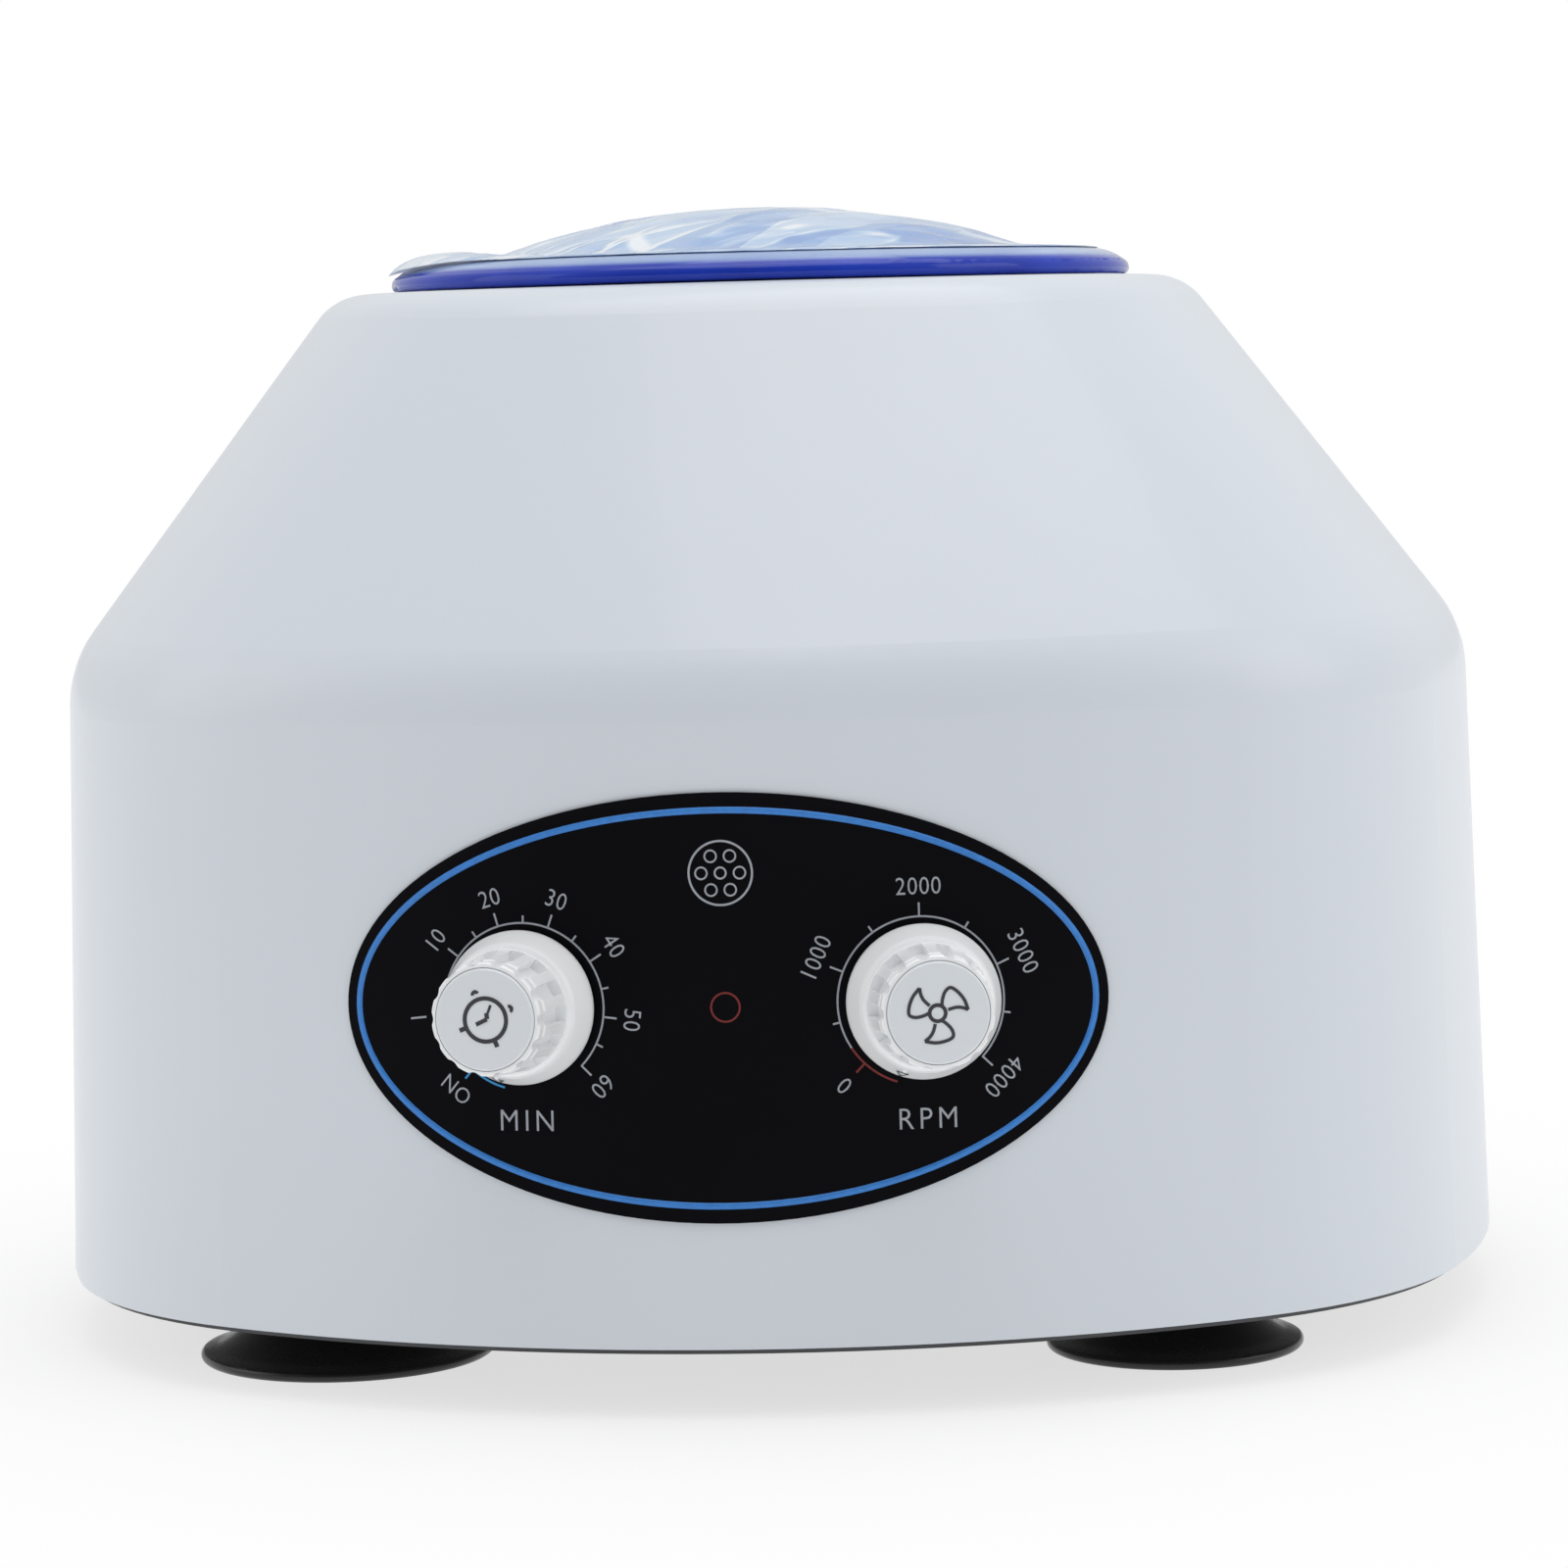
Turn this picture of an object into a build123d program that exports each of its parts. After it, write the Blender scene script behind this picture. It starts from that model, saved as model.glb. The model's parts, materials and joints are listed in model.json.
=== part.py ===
from build123d import *
import math
import os

# Bench-top tube centrifuge with a see-through hinged lid.
# Frame: +Z up, the front (knob side) faces -Y, +X to the right as seen from the front.
# The origin is on the table under the middle of the bounding box. All sizes are in millimetres.
# The rotor axis is at (0, DY); the shapes below are written about the rotor axis and moved by DY at the end.

DY = 7.96                     # rotor axis behind the origin

# ---- casing ----
A, B = 128.0, 118.0           # half width, half depth at the bottom edge
RS, RC = 176.0, 72.0          # plan radii: bulged sides, corners
Z_BOT = 11.5                  # bottom edge of the casing above the table
Z_CREASE = 118.0              # where the upright wall turns into the sloping wall
Z0 = 181.7                    # top deck
DRAFT_IN = 3.1                # wall leans in by this much between Z_BOT and Z_CREASE
A_TOP, B_TOP = 76.0, 73.5     # half sizes of the deck before its edge is rounded
RS_TOP, RC_TOP = 108.0, 54.0
WALL = 3.0
R_CREASE, R_DECK = 22.0, 11.0
R_MOUTH = 58.0                # loading opening in the deck

# ---- control panel ----
LABEL_A, LABEL_B, LABEL_Z, LABEL_T = 61.5, 34.4, 66.3, 0.5
KNOB_X, KNOB_Z = 32.1, 66.7
TIMER_REST, SPEED_REST = 194.5, 200.0   # knob pointers at rest, clockwise from twelve o'clock

# ---- lid ----
R_LID = 66.4
LID_GAP = 0.3
HINGE_Y, HINGE_Z = 73.0, Z0 + 4.6

# ---- rotor ----
TILT = 38.0                   # socket axis from the vertical
MOUTH_R, MOUTH_Z = 38.0, 167.0
SLEEVE_L, SLEEVE_RO, SLEEVE_RI = 80.0, 9.9, 8.75
N_TUBES = 6
SHAFT_R = 4.0

# ---- motor ----
M_R, M_Z0, M_Z1 = 31.0, 28.0, 80.0

# ---- feet ----
FOOT_X, FOOT_Y, FOOT_H = 71.0, 62.0, 10.5

PARTS = {}


def keep(name, *shapes):
    solids = []
    for s in shapes:
        solids += list(s.solids())
    PARTS[name] = solids


def cyl(r, z0, z1, x=0.0, y=0.0):
    return Pos(x, y, (z0 + z1) / 2) * Cylinder(r, z1 - z0)


def box(x0, x1, y0, y1, z0, z1):
    return Pos((x0 + x1) / 2, (y0 + y1) / 2, (z0 + z1) / 2) * Box(x1 - x0, y1 - y0, z1 - z0)


def rev(pts):
    """Solid of revolution about Z from a closed polygon of (r, z)."""
    face = Face(Wire.make_polygon([(r, 0, z) for r, z in pts], close=True))
    return revolve(face, axis=Axis.Z, revolution_arc=360)


def rev_edges(edges):
    face = Face(Wire(edges))
    return revolve(face, axis=Axis.Z, revolution_arc=360)


def at(shape, origin, zdir, xdir=None):
    return Plane(origin=origin, x_dir=xdir, z_dir=zdir).location * shape


def ring(ro, ri, z0, z1):
    return cyl(ro, z0, z1) - cyl(ri, z0 - 1, z1 + 1)


# ---------------------------------------------------------------- casing plan
def corner_centre(a, b, rs, rc):
    x, y = a - rc - 5.0, b - rc - 5.0
    for _ in range(60):
        u1 = (x, y - (b - rs))
        u2 = (x - (a - rs), y)
        l1, l2 = math.hypot(*u1), math.hypot(*u2)
        f1, f2 = l1 - (rs - rc), l2 - (rs - rc)
        a11, a12, a21, a22 = u1[0] / l1, u1[1] / l1, u2[0] / l2, u2[1] / l2
        det = a11 * a22 - a12 * a21
        x -= (f1 * a22 - f2 * a12) / det
        y -= (a11 * f2 - a21 * f1) / det
    return x, y


def plan(a, b, rs, rc, z):
    """Rounded square with bulged sides: eight tangent arcs."""
    cx, cy = corner_centre(a, b, rs, rc)
    t1 = math.atan2(cy - (b - rs), cx)
    t2 = math.atan2(cy, cx - (a - rs))

    def p(ox, oy, r, t, sx=1, sy=1):
        return (sx * (ox + r * math.cos(t)), sy * (oy + r * math.sin(t)), z)

    side_x = lambda t, s: p(a - rs, 0, rs, t, s, 1)
    side_y = lambda t, s: p(0, b - rs, rs, t, 1, s)
    tm = (t1 + t2) / 2
    corner = lambda t, sx, sy: p(cx, cy, rc, t, sx, sy)
    e = [
        ThreePointArc(side_x(-t2, 1), side_x(0, 1), side_x(t2, 1)),
        ThreePointArc(corner(t2, 1, 1), corner(tm, 1, 1), corner(t1, 1, 1)),
        ThreePointArc(side_y(t1, 1), side_y(math.pi / 2, 1), side_y(math.pi - t1, 1)),
        ThreePointArc(corner(t1, -1, 1), corner(tm, -1, 1), corner(t2, -1, 1)),
        ThreePointArc(side_x(t2, -1), side_x(0, -1), side_x(-t2, -1)),
        ThreePointArc(corner(t2, -1, -1), corner(tm, -1, -1), corner(t1, -1, -1)),
        ThreePointArc(side_y(math.pi - t1, -1), side_y(math.pi / 2, -1), side_y(t1, -1)),
        ThreePointArc(corner(t1, 1, -1), corner(tm, 1, -1), corner(t2, 1, -1)),
    ]
    return Face(Wire(e))


def slab(inset, z0, z1):
    """Straight-sided slab on the casing's bottom outline, inset by that much."""
    return extrude(plan(A - inset, B - inset, RS - inset, RC - inset, z0), amount=z1 - z0, dir=(0, 0, 1))


def body(inset_low, z_low, z_cr, top_in, z_top, r_cr, r_top):
    low = plan(A - inset_low, B - inset_low, RS - inset_low, RC - inset_low, z_low)
    k = inset_low + DRAFT_IN
    mid = plan(A - k, B - k, RS - k, RC - k, z_cr)
    top = plan(A_TOP - top_in, B_TOP - top_in, RS_TOP - top_in, RC_TOP - top_in, z_top)
    s = loft([low, mid], ruled=True) + loft([mid, top], ruled=True)
    e = [x for x in s.edges() if abs(x.center().Z - z_cr) < 0.05 and x.bounding_box().size.Z < 0.05]
    s = fillet(e, r_cr)
    e = [x for x in s.edges() if abs(x.center().Z - z_top) < 0.05 and x.bounding_box().size.Z < 0.05]
    s = fillet(e, r_top)
    return s


def front_point(x, z, off=0.0):
    """Point on the front wall at that x and z, and its outward normal."""
    slope = DRAFT_IN / (Z_CREASE - Z_BOT)
    r = RS - slope * (z - Z_BOT) + off
    yc = -B + RS
    y = yc - math.sqrt(r * r - x * x)
    d = math.atan(slope)
    n = Vector(x / r * math.cos(d), (y - yc) / r * math.cos(d), math.sin(d))
    return Vector(x, y, z), n.normalized()


outer = body(0.0, Z_BOT, Z_CREASE, 0.0, Z0, R_CREASE, R_DECK)
inner = body(WALL, Z_BOT - 4.0, Z_CREASE - 0.97, 1.48, Z0 - WALL, R_CREASE - WALL, R_DECK - WALL)

# hinge shelf on the rear slope, level with the deck
shelf = box(-33, 33, 60, 86, 160, Z0)
shelf = fillet(shelf.edges().filter_by(Axis.Z).group_by(Axis.Y)[-1], 5.0)
shelf = fillet(shelf.faces().sort_by(Axis.Z)[-1].edges().group_by(Axis.Y)[-1], 1.2)

shell = outer + (shelf - inner)
# rear recess with a flat floor for the power module
REC_Y = 110.5
pad = box(-33, 33, REC_Y - WALL, 119, 21, 91) & outer
shell = shell - inner + (pad - box(-30, 30, REC_Y, 125, 24, 88))
shell = shell - box(-30, 30, REC_Y, 125, 24, 88)
shell = shell - cyl(R_MOUTH, Z0 - 8, Z0 + 2)
shell = shell - (cyl(60.6, Z0 - 1.2, Z0 + 1) - cyl(R_MOUTH - 1, Z0 - 2, Z0 + 2))
# power module cut-out
shell = shell - box(-14.8, 14.8, REC_Y - WALL - 1, REC_Y + 1, 28.7, 83.3)
INLET_SCREW = [(-20.0, 51.0), (20.0, 51.0)]
for sx, sz in INLET_SCREW:
    shell = shell - at(Cylinder(1.55, 12), (sx, REC_Y - 2, sz), (0, 1, 0))
# rear vents, both sides of the power module
for s in (-1, 1):
    for i in range(6):
        x = s * (44.0 + 6.0 * i)
        v = box(x - 1.4, x + 1.4, 70, 130, 40, 74)
        v = fillet(v.edges().filter_by(Axis.Y), 1.35)
        shell = shell - v
# corner bosses for the base screws
BOSS = [(97.0, 79.0), (-97.0, 79.0), (-97.0, -79.0), (97.0, -79.0)]
for x, y in BOSS:
    shell = shell + cyl(5.0, Z_BOT + 1.7, 42.0, x, y) - cyl(1.55, Z_BOT, 34.0, x, y)
# knob shaft holes
KF = {}
for side, r in ((-1, 5.1), (1, 3.6)):
    p, n = front_point(side * KNOB_X, KNOB_Z, LABEL_T)
    xd = Vector(-n.Y, n.X, 0).normalized()
    KF[side] = (p, n, xd)
    shell = shell - at(Cylinder(r, 24), p, n, xd)
# deck screws for the chamber liner
LINER_R = 63.05
LINER_SCREW = [(LINER_R * math.cos(math.radians(t)), LINER_R * math.sin(math.radians(t))) for t in (45, 135, 225, 315)]
for x, y in LINER_SCREW:
    shell = shell - cyl(1.35, Z0 - 5, Z0 + 1, x, y) - Pos(x, y, Z0 - 0.7) * Cone(1.35, 2.4, 1.42)
# hinge bracket screws
BRACKET_SCREW = [(-10.0, 81.3), (10.0, 81.3)]
for x, y in BRACKET_SCREW:
    shell = shell - cyl(1.3, Z0 - 10, Z0 + 1, x, y)
keep("housing_shell", shell)

# ---------------------------------------------------------------- base plate
PB0, PB1 = Z_BOT - 1.0, Z_BOT + 1.5
base = slab(1.6, PB0, Z_BOT) + slab(WALL + 0.35, Z_BOT - 0.2, PB1)
FEET = {"front_left": (-1, -1), "front_right": (1, -1), "rear_left": (-1, 1), "rear_right": (1, 1)}
for sx, sy in FEET.values():
    base = base + cyl(7.0, Z_BOT, 20.0, sx * FOOT_X, sy * FOOT_Y)
    base = base - cyl(2.05, PB0 - 1, 18.0, sx * FOOT_X, sy * FOOT_Y)
for x, y in BOSS:
    base = base - cyl(1.75, PB0 - 1, PB1 + 1, x, y) - Pos(x, y, PB0 + 0.79) * Cone(3.35, 1.75, 1.6)
DAMPER = [(41.0, 41.0), (-41.0, 41.0), (-41.0, -41.0), (41.0, -41.0)]
for x, y in DAMPER:
    base = base - cyl(2.05, PB0 - 1, PB1 + 1, x, y)
for i in range(-4, 5):
    v = box(i * 6 - 1.3, i * 6 + 1.3, -84, -60, PB0 - 1, PB1 + 1)
    base = base - fillet(v.edges().filter_by(Axis.Z), 1.25)
    v = box(i * 6 - 1.3, i * 6 + 1.3, 60, 84, PB0 - 1, PB1 + 1)
    base = base - fillet(v.edges().filter_by(Axis.Z), 1.25)
BOARD = [(-110.0, -26.0), (-110.0, 26.0), (-64.0, -26.0), (-64.0, 26.0)]
for x, y in BOARD:
    base = base + cyl(3.2, Z_BOT, 19.0, x, y) - cyl(1.25, 13.0, 20.0, x, y)
keep("base_plate", base)


def screw(head_r, head_h, shank_r, length, style="pan", recess=1.1):
    """Cross-recess screw, head's top at z = 0, shank down -Z; length counts from under a pan head or from the top of a flat head."""
    if style == "pan":
        s = rev([(0, 0), (head_r * 0.55, 0), (head_r * 0.85, -head_h * 0.25), (head_r, -head_h * 0.7), (head_r, -head_h), (shank_r, -head_h), (shank_r, -head_h - length + 0.5), (shank_r - 0.4, -head_h - length), (0, -head_h - length)])
    else:
        s = rev([(0, 0), (head_r, 0), (head_r, -0.15), (shank_r, -head_h), (shank_r, -length + 0.5), (shank_r - 0.4, -length), (0, -length)])
    w = head_r * 0.26
    s = s - box(-head_r * 0.6, head_r * 0.6, -w / 2, w / 2, -recess, 1) - box(-w / 2, w / 2, -head_r * 0.6, head_r * 0.6, -recess, 1)
    return s


keep("base_screws", *[at(screw(3.0, 1.45, 1.5, 16.0, "flat", 0.9), (x, y, PB0 + 0.02), (0, 0, -1)) for x, y in BOSS])
keep("liner_screws", *[at(screw(2.15, 1.1, 1.25, 5.2, "flat", 0.6), (x, y, Z0 - 0.05), (0, 0, 1)) for x, y in LINER_SCREW])


# ---------------------------------------------------------------- suction feet
def foot(neck, lip):
    h = FOOT_H
    outer_line = Spline([(neck, 0, h - 0.9), (neck + 0.35, 0, h - 3.2), (neck + (lip - neck) * 0.32, 0, 4.7), (lip - 3.2, 0, 2.55), (lip - 0.5, 0, 1.75)], tangents=[(0, 0, -1), (1, 0, -0.28)])
    e = [
        Line((0, 0, h), (neck - 0.6, 0, h)),
        Line((neck - 0.6, 0, h), (neck, 0, h - 0.9)),
        outer_line,
        ThreePointArc((lip - 0.5, 0, 1.75), (lip, 0, 0.95), (lip - 0.55, 0, 0.0)),
        Line((lip - 0.55, 0, 0), (lip - 2.4, 0, 0)),
        Spline([(lip - 2.4, 0, 0), (lip * 0.55, 0, 1.9), (5.2, 0, 3.4)], tangents=[(-1, 0, 0.25), (-1, 0, 0.05)]),
        Line((5.2, 0, 3.4), (5.2, 0, 5.6)),
        Line((5.2, 0, 5.6), (2.15, 0, 5.6)),
        Line((2.15, 0, 5.6), (2.15, 0, h)),
    ]
    e[0] = Line((2.15, 0, h), (neck - 0.6, 0, h))
    return rev_edges(e)


FOOT_SIZE = {"front_left": (15.4, 25.3), "front_right": (12.0, 21.8), "rear_left": (13.4, 23.4), "rear_right": (13.4, 23.4)}
foot_screws = []
for name, (sx, sy) in FEET.items():
    keep(f"suction_foot_{name}", Pos(sx * FOOT_X, sy * FOOT_Y, 0) * foot(*FOOT_SIZE[name]))
    foot_screws.append(at(screw(4.4, 2.2, 1.95, 10.0, "pan", 1.2), (sx * FOOT_X, sy * FOOT_Y, 3.4), (0, 0, -1)))
keep("foot_screws", *foot_screws)

# ---------------------------------------------------------------- chamber liner and seal
ZL = Z0 - WALL
liner = rev([(59.2, ZL), (59.2, 171.0), (98.6, 116.0), (100.2, 111.5), (100.2, 99.0), (97.0, 95.6), (13.2, 95.6), (13.2, 99.0), (12.0, 99.0), (12.0, 94.4), (97.6, 94.4), (101.4, 98.6), (101.4, 111.8), (99.7, 116.5), (60.4, 171.4), (60.4, ZL - 1.2), (67.0, ZL - 1.2), (67.0, ZL)])
for x, y in LINER_SCREW:
    liner = liner - cyl(1.35, ZL - 3, Z0, x, y)
keep("chamber_liner", liner)
keep("chamber_seal", ring(60.5, R_MOUTH, Z0 - 1.2, Z0 + 0.2))

# ---------------------------------------------------------------- lid and hinge
g = LID_GAP
# see-through cover: shallow dome, valley, rounded shoulder and a thick rim
Rd, apex = 143.0, 13.45
dome_z = lambda r, d=0.0: Z0 + apex - Rd + math.sqrt((Rd - d) ** 2 - r * r)
T = 2.0


def arc3(*pts):
    """Arc through three (r, height above the deck) points."""
    return ThreePointArc(*[(r, 0, Z0 + h) for r, h in pts])


def dome_arc(r0, r1, d=0.0, up=0.0):
    return ThreePointArc(*[(r, 0, dome_z(r, d) + up) for r in (r0, (r0 + r1) / 2, r1)])


h_out, h_in = dome_z(46.4) - Z0, dome_z(46.0, T) - Z0
lid_edges = [
    dome_arc(0, 46.4),
    arc3((46.4, h_out), (48.6, 5.14), (51.2, 4.98)),
    arc3((51.2, 4.98), (55.8, 5.22), (60.4, 4.98)),
    arc3((60.4, 4.98), (63.5, 4.25), (65.4, 3.05)),
    arc3((65.4, 3.05), (66.18, 2.38), (R_LID, 1.6)),
    arc3((R_LID, 1.6), (R_LID - 0.3, g + 0.35), (R_LID - 1.0, g)),
    Line((R_LID - 1.0, 0, Z0 + g), (61.4, 0, Z0 + g)),
    Line((61.4, 0, Z0 + g), (61.0, 0, Z0 + g + 0.4)),
    arc3((61.0, g + 0.4), (60.2, 2.3), (58.2, 3.1)),
    arc3((58.2, 3.1), (55.0, 3.3), (51.2, 2.98)),
    arc3((51.2, 2.98), (48.4, 3.12), (46.0, h_in)),
    dome_arc(46.0, 0, T),
    Line((0, 0, dome_z(0, T)), (0, 0, dome_z(0))),
]
lid = rev_edges(lid_edges)
lug = box(-19, 19, 61.8, HINGE_Y, Z0 + 0.7, Z0 + 4.2)
lug = lug + at(Cylinder(3.4, 38.0), (0, HINGE_Y, HINGE_Z), (1, 0, 0))
lid = lid + lug
lid = lid - at(Cylinder(1.55, 60.0), (0, HINGE_Y, HINGE_Z), (1, 0, 0))
keep("lid_cover", lid)

brk = box(-30, 30, 78.6, 84.6, Z0, Z0 + 2.2)
brk = fillet(brk.edges().filter_by(Axis.Z), 1.5)
for s in (-1, 1):
    ear = box(s * 24 - 4, s * 24 + 4, 69.4, 76.6, Z0, HINGE_Z) + box(s * 24 - 4, s * 24 + 4, 76.0, 82.0, Z0, Z0 + 3.4)
    ear = ear + at(Cylinder(3.6, 8.0), (s * 24, HINGE_Y, HINGE_Z), (1, 0, 0))
    brk = brk + ear
brk = brk - at(Cylinder(1.52, 70.0), (0, HINGE_Y, HINGE_Z), (1, 0, 0))
for x, y in BRACKET_SCREW:
    brk = brk - cyl(1.4, Z0 - 1, Z0 + 5, x, y)
keep("hinge_bracket", brk)
pin = at(Cylinder(1.5, 55.4), (0, HINGE_Y, HINGE_Z), (1, 0, 0))
keep("hinge_pin", chamfer(pin.edges(), 0.3))
keep("hinge_screws", *[at(screw(2.5, 1.5, 1.25, 8.5, "pan", 0.8), (x, y, Z0 + 2.2 + 1.5), (0, 0, 1)) for x, y in BRACKET_SCREW])

# thin protective film laid over the dome and shoulder
FG, FT = 0.12, 0.18
film_edges = [
    dome_arc(0, 46.4, 0.0, FG),
    arc3((46.4, h_out + FG), (48.6, 5.30), (51.2, 5.16)),
    arc3((51.2, 5.16), (55.8, 5.40), (60.4, 5.16)),
    Line((60.4, 0, Z0 + 5.16), (60.4, 0, Z0 + 5.16 + FT)),
    arc3((60.4, 5.16 + FT), (55.8, 5.40 + FT), (51.2, 5.16 + FT)),
    arc3((51.2, 5.16 + FT), (48.6, 5.30 + FT), (46.4, h_out + FG + FT)),
    dome_arc(46.4, 0, 0.0, FG + FT),
    Line((0, 0, dome_z(0) + FG + FT), (0, 0, dome_z(0) + FG)),
]
keep("lid_film", rev_edges(film_edges))

# ---------------------------------------------------------------- rotor
ta = math.radians(TILT)
D = (math.sin(ta), -math.cos(ta))       # along a socket, down and out
P = (math.cos(ta), math.sin(ta))        # across a socket, out and up


def mp(s, t):
    """Point (r, z) at s across and t along a socket from its mouth centre."""
    return (MOUTH_R + P[0] * s + D[0] * t, MOUTH_Z + P[1] * s + D[1] * t)


FL = 2.0                                 # sleeve flange
head = rev([
    (SHAFT_R + 0.02, 141.0), (13.0, 141.0), (16.5, 145.0), mp(-14.0, FL + 6.5), mp(10.6, FL + 6.5), mp(11.6, FL + 9.0), mp(11.6, 34.0), mp(14.2, 34.0), mp(14.2, -0.2), mp(13.6, -0.8), mp(12.4, -0.8), mp(12.4, FL - 0.9), mp(-20.0, FL - 0.9), (16.0, 151.4), (16.0, 156.5), (SHAFT_R + 0.02, 156.5),
])
sockets = []
for i in range(N_TUBES):
    t = math.radians(30 + 60 * i)
    ex = Vector(math.cos(t), math.sin(t), 0)
    m = Vector(MOUTH_R * ex.X, MOUTH_R * ex.Y, MOUTH_Z)
    d = Vector(D[0] * ex.X, D[0] * ex.Y, D[1])
    sockets.append((m, d, ex))
    head = head - at(Cylinder(SLEEVE_RO + 0.1, 34), m + d * 4, d)
    head = head - at(Cylinder(11.9, FL + 8), m + d * (FL - (FL + 8) / 2), d)
# finger dimples between the sockets keep the disc light
for i in range(N_TUBES):
    t = math.radians(60 * i)
    head = head - cyl(5.0, 135, 190, 27.5 * math.cos(t), 27.5 * math.sin(t))
keep("rotor_head", head)

sl = rev_edges([
    Line((SLEEVE_RI + 0.5, 0, 0), (11.2, 0, 0)),
    Line((11.2, 0, 0), (11.6, 0, -0.4)),
    Line((11.6, 0, -0.4), (11.6, 0, -FL)),
    Line((11.6, 0, -FL), (SLEEVE_RO, 0, -FL)),
    Line((SLEEVE_RO, 0, -FL), (SLEEVE_RO, 0, -SLEEVE_L + SLEEVE_RO)),
    ThreePointArc((SLEEVE_RO, 0, -SLEEVE_L + SLEEVE_RO), (SLEEVE_RO * math.sin(math.pi / 4), 0, -SLEEVE_L + SLEEVE_RO - SLEEVE_RO * math.cos(math.pi / 4)), (0, 0, -SLEEVE_L)),
    Line((0, 0, -SLEEVE_L), (0, 0, -SLEEVE_L + 1.15)),
    ThreePointArc((0, 0, -SLEEVE_L + 1.15), (SLEEVE_RI * math.sin(math.pi / 4), 0, -SLEEVE_L + SLEEVE_RO - SLEEVE_RI * math.cos(math.pi / 4)), (SLEEVE_RI, 0, -SLEEVE_L + SLEEVE_RO)),
    Line((SLEEVE_RI, 0, -SLEEVE_L + SLEEVE_RO), (SLEEVE_RI, 0, -0.5)),
    Line((SLEEVE_RI, 0, -0.5), (SLEEVE_RI + 0.5, 0, 0)),
])
keep("tube_sleeves", *[at(sl, m, d * -1, ex.cross(d)) for m, d, ex in sockets])

# shaft with a shoulder under the hub, and a dome nut that clamps the head
shaft = rev([(0, 18.0), (SHAFT_R - 0.5, 18.0), (SHAFT_R, 18.5), (SHAFT_R, 130.0), (7.0, 130.0), (7.0, 136.0), (8.5, 136.0), (8.5, 140.98), (SHAFT_R, 140.98), (SHAFT_R, 166.0), (SHAFT_R - 0.6, 166.6), (0, 166.6)])
keep("motor_shaft", shaft)
nut = Pos(0, 0, 159.0) * extrude(RegularPolygon(8.0, 6), amount=2.5, both=True)
nut = nut + rev([(0, 161.5), (6.6, 161.5), (6.2, 164.5), (4.4, 167.6), (1.8, 169.0), (0, 169.2)])
nut = nut - cyl(SHAFT_R + 0.03, 150, 166.8)
keep("rotor_nut", nut)

# ---------------------------------------------------------------- motor
z0, z1 = M_Z0, M_Z1
can = ring(M_R, M_R - 1.6, z0, z1)
for i in range(8):
    t = 45 * i + 22.5
    can = can - Rot(0, 0, t) * box(M_R - 4, M_R + 2, -2.5, 2.5, z1 - 12, z1 - 4)
    can = can - Rot(0, 0, t) * box(M_R - 4, M_R + 2, -2.5, 2.5, z0 + 16, z0 + 19)
keep("motor_can", can)
top_cap = cyl(M_R, z1, z1 + 3.0) + cyl(11.0, z1 - 3.0, z1 + 6.0) + ring(M_R - 1.65, M_R - 4.0, z1 - 2.5, z1)
top_cap = top_cap - cyl(8.0, z1 - 4, z1 + 7)
for i in range(6):
    top_cap = top_cap - Rot(0, 0, 60 * i) * cyl(4.2, z1 - 4, z1 + 4, 19.0, 0)
keep("motor_top_cap", top_cap)
bot_cap = cyl(M_R, z0 - 6.0, z0) + cyl(11.5, 17.0, z0 + 2.0) + ring(M_R - 1.65, M_R - 4.0, z0, z0 + 2.5)
bot_cap = bot_cap - cyl(8.0, 18.2, z0 + 3.0) - cyl(5.0, 16.0, 20.0)
keep("motor_bottom_cap", bot_cap)
keep("upper_bush", ring(7.98, SHAFT_R + 0.04, z1 - 2.8, z1 + 5.8))
keep("lower_bush", ring(7.98, SHAFT_R + 0.04, 20.4, z0 + 1.8))

# stator: two-pole laminations and two field coils
lam = ring(M_R - 1.65, 24.0, z0 + 21, z0 + 43)
for s in (0, 180):
    pole = Rot(0, 0, s) * (box(15, 26, -13, 13, z0 + 21, z0 + 43) & cyl(25.5, z0, z1))
    lam = lam + pole
lam = lam - cyl(18.9, z0, z1)
keep("stator_laminations", lam)
coils = []
for s in (0, 180):
    c = box(19.6, 23.6, -17.6, 17.6, z0 + 17, z0 + 47) - box(10, 30, -13.1, 13.1, z0 + 20.9, z0 + 43.1)
    c = c & cyl(23.9, z0, z1)
    c = c - cyl(19.2, z0, z1)
    coils.append(Rot(0, 0, s) * c)
keep("field_coils", *coils)

# armature on the shaft
core = ring(18.4, SHAFT_R + 0.0, z0 + 21, z0 + 43)
for i in range(12):
    core = core - Rot(0, 0, 30 * i) * box(11, 20, -1.1, 1.1, z0 + 20, z0 + 44) - Rot(0, 0, 30 * i) * cyl(2.4, z0 + 20, z0 + 44, 12.5, 0)
keep("armature_core", core)
wind = rev([(6.0, z0 + 43.0), (15.5, z0 + 43.0), (16.0, z0 + 45.5), (13.0, z0 + 48.0), (6.0, z0 + 48.6)])
wind2 = rev([(6.0, z0 + 21.0), (15.5, z0 + 21.0), (16.0, z0 + 18.5), (13.0, z0 + 16.0), (6.0, z0 + 15.4)])
keep("armature_windings", wind, wind2)
com = ring(9.0, SHAFT_R, z0 + 3.5, z0 + 14.5)
for i in range(12):
    com = com - Rot(0, 0, 30 * i + 15) * box(8.2, 10, -0.25, 0.25, z0 + 3, z0 + 15)
keep("commutator", com)
holders, brushes = [], []
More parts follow.
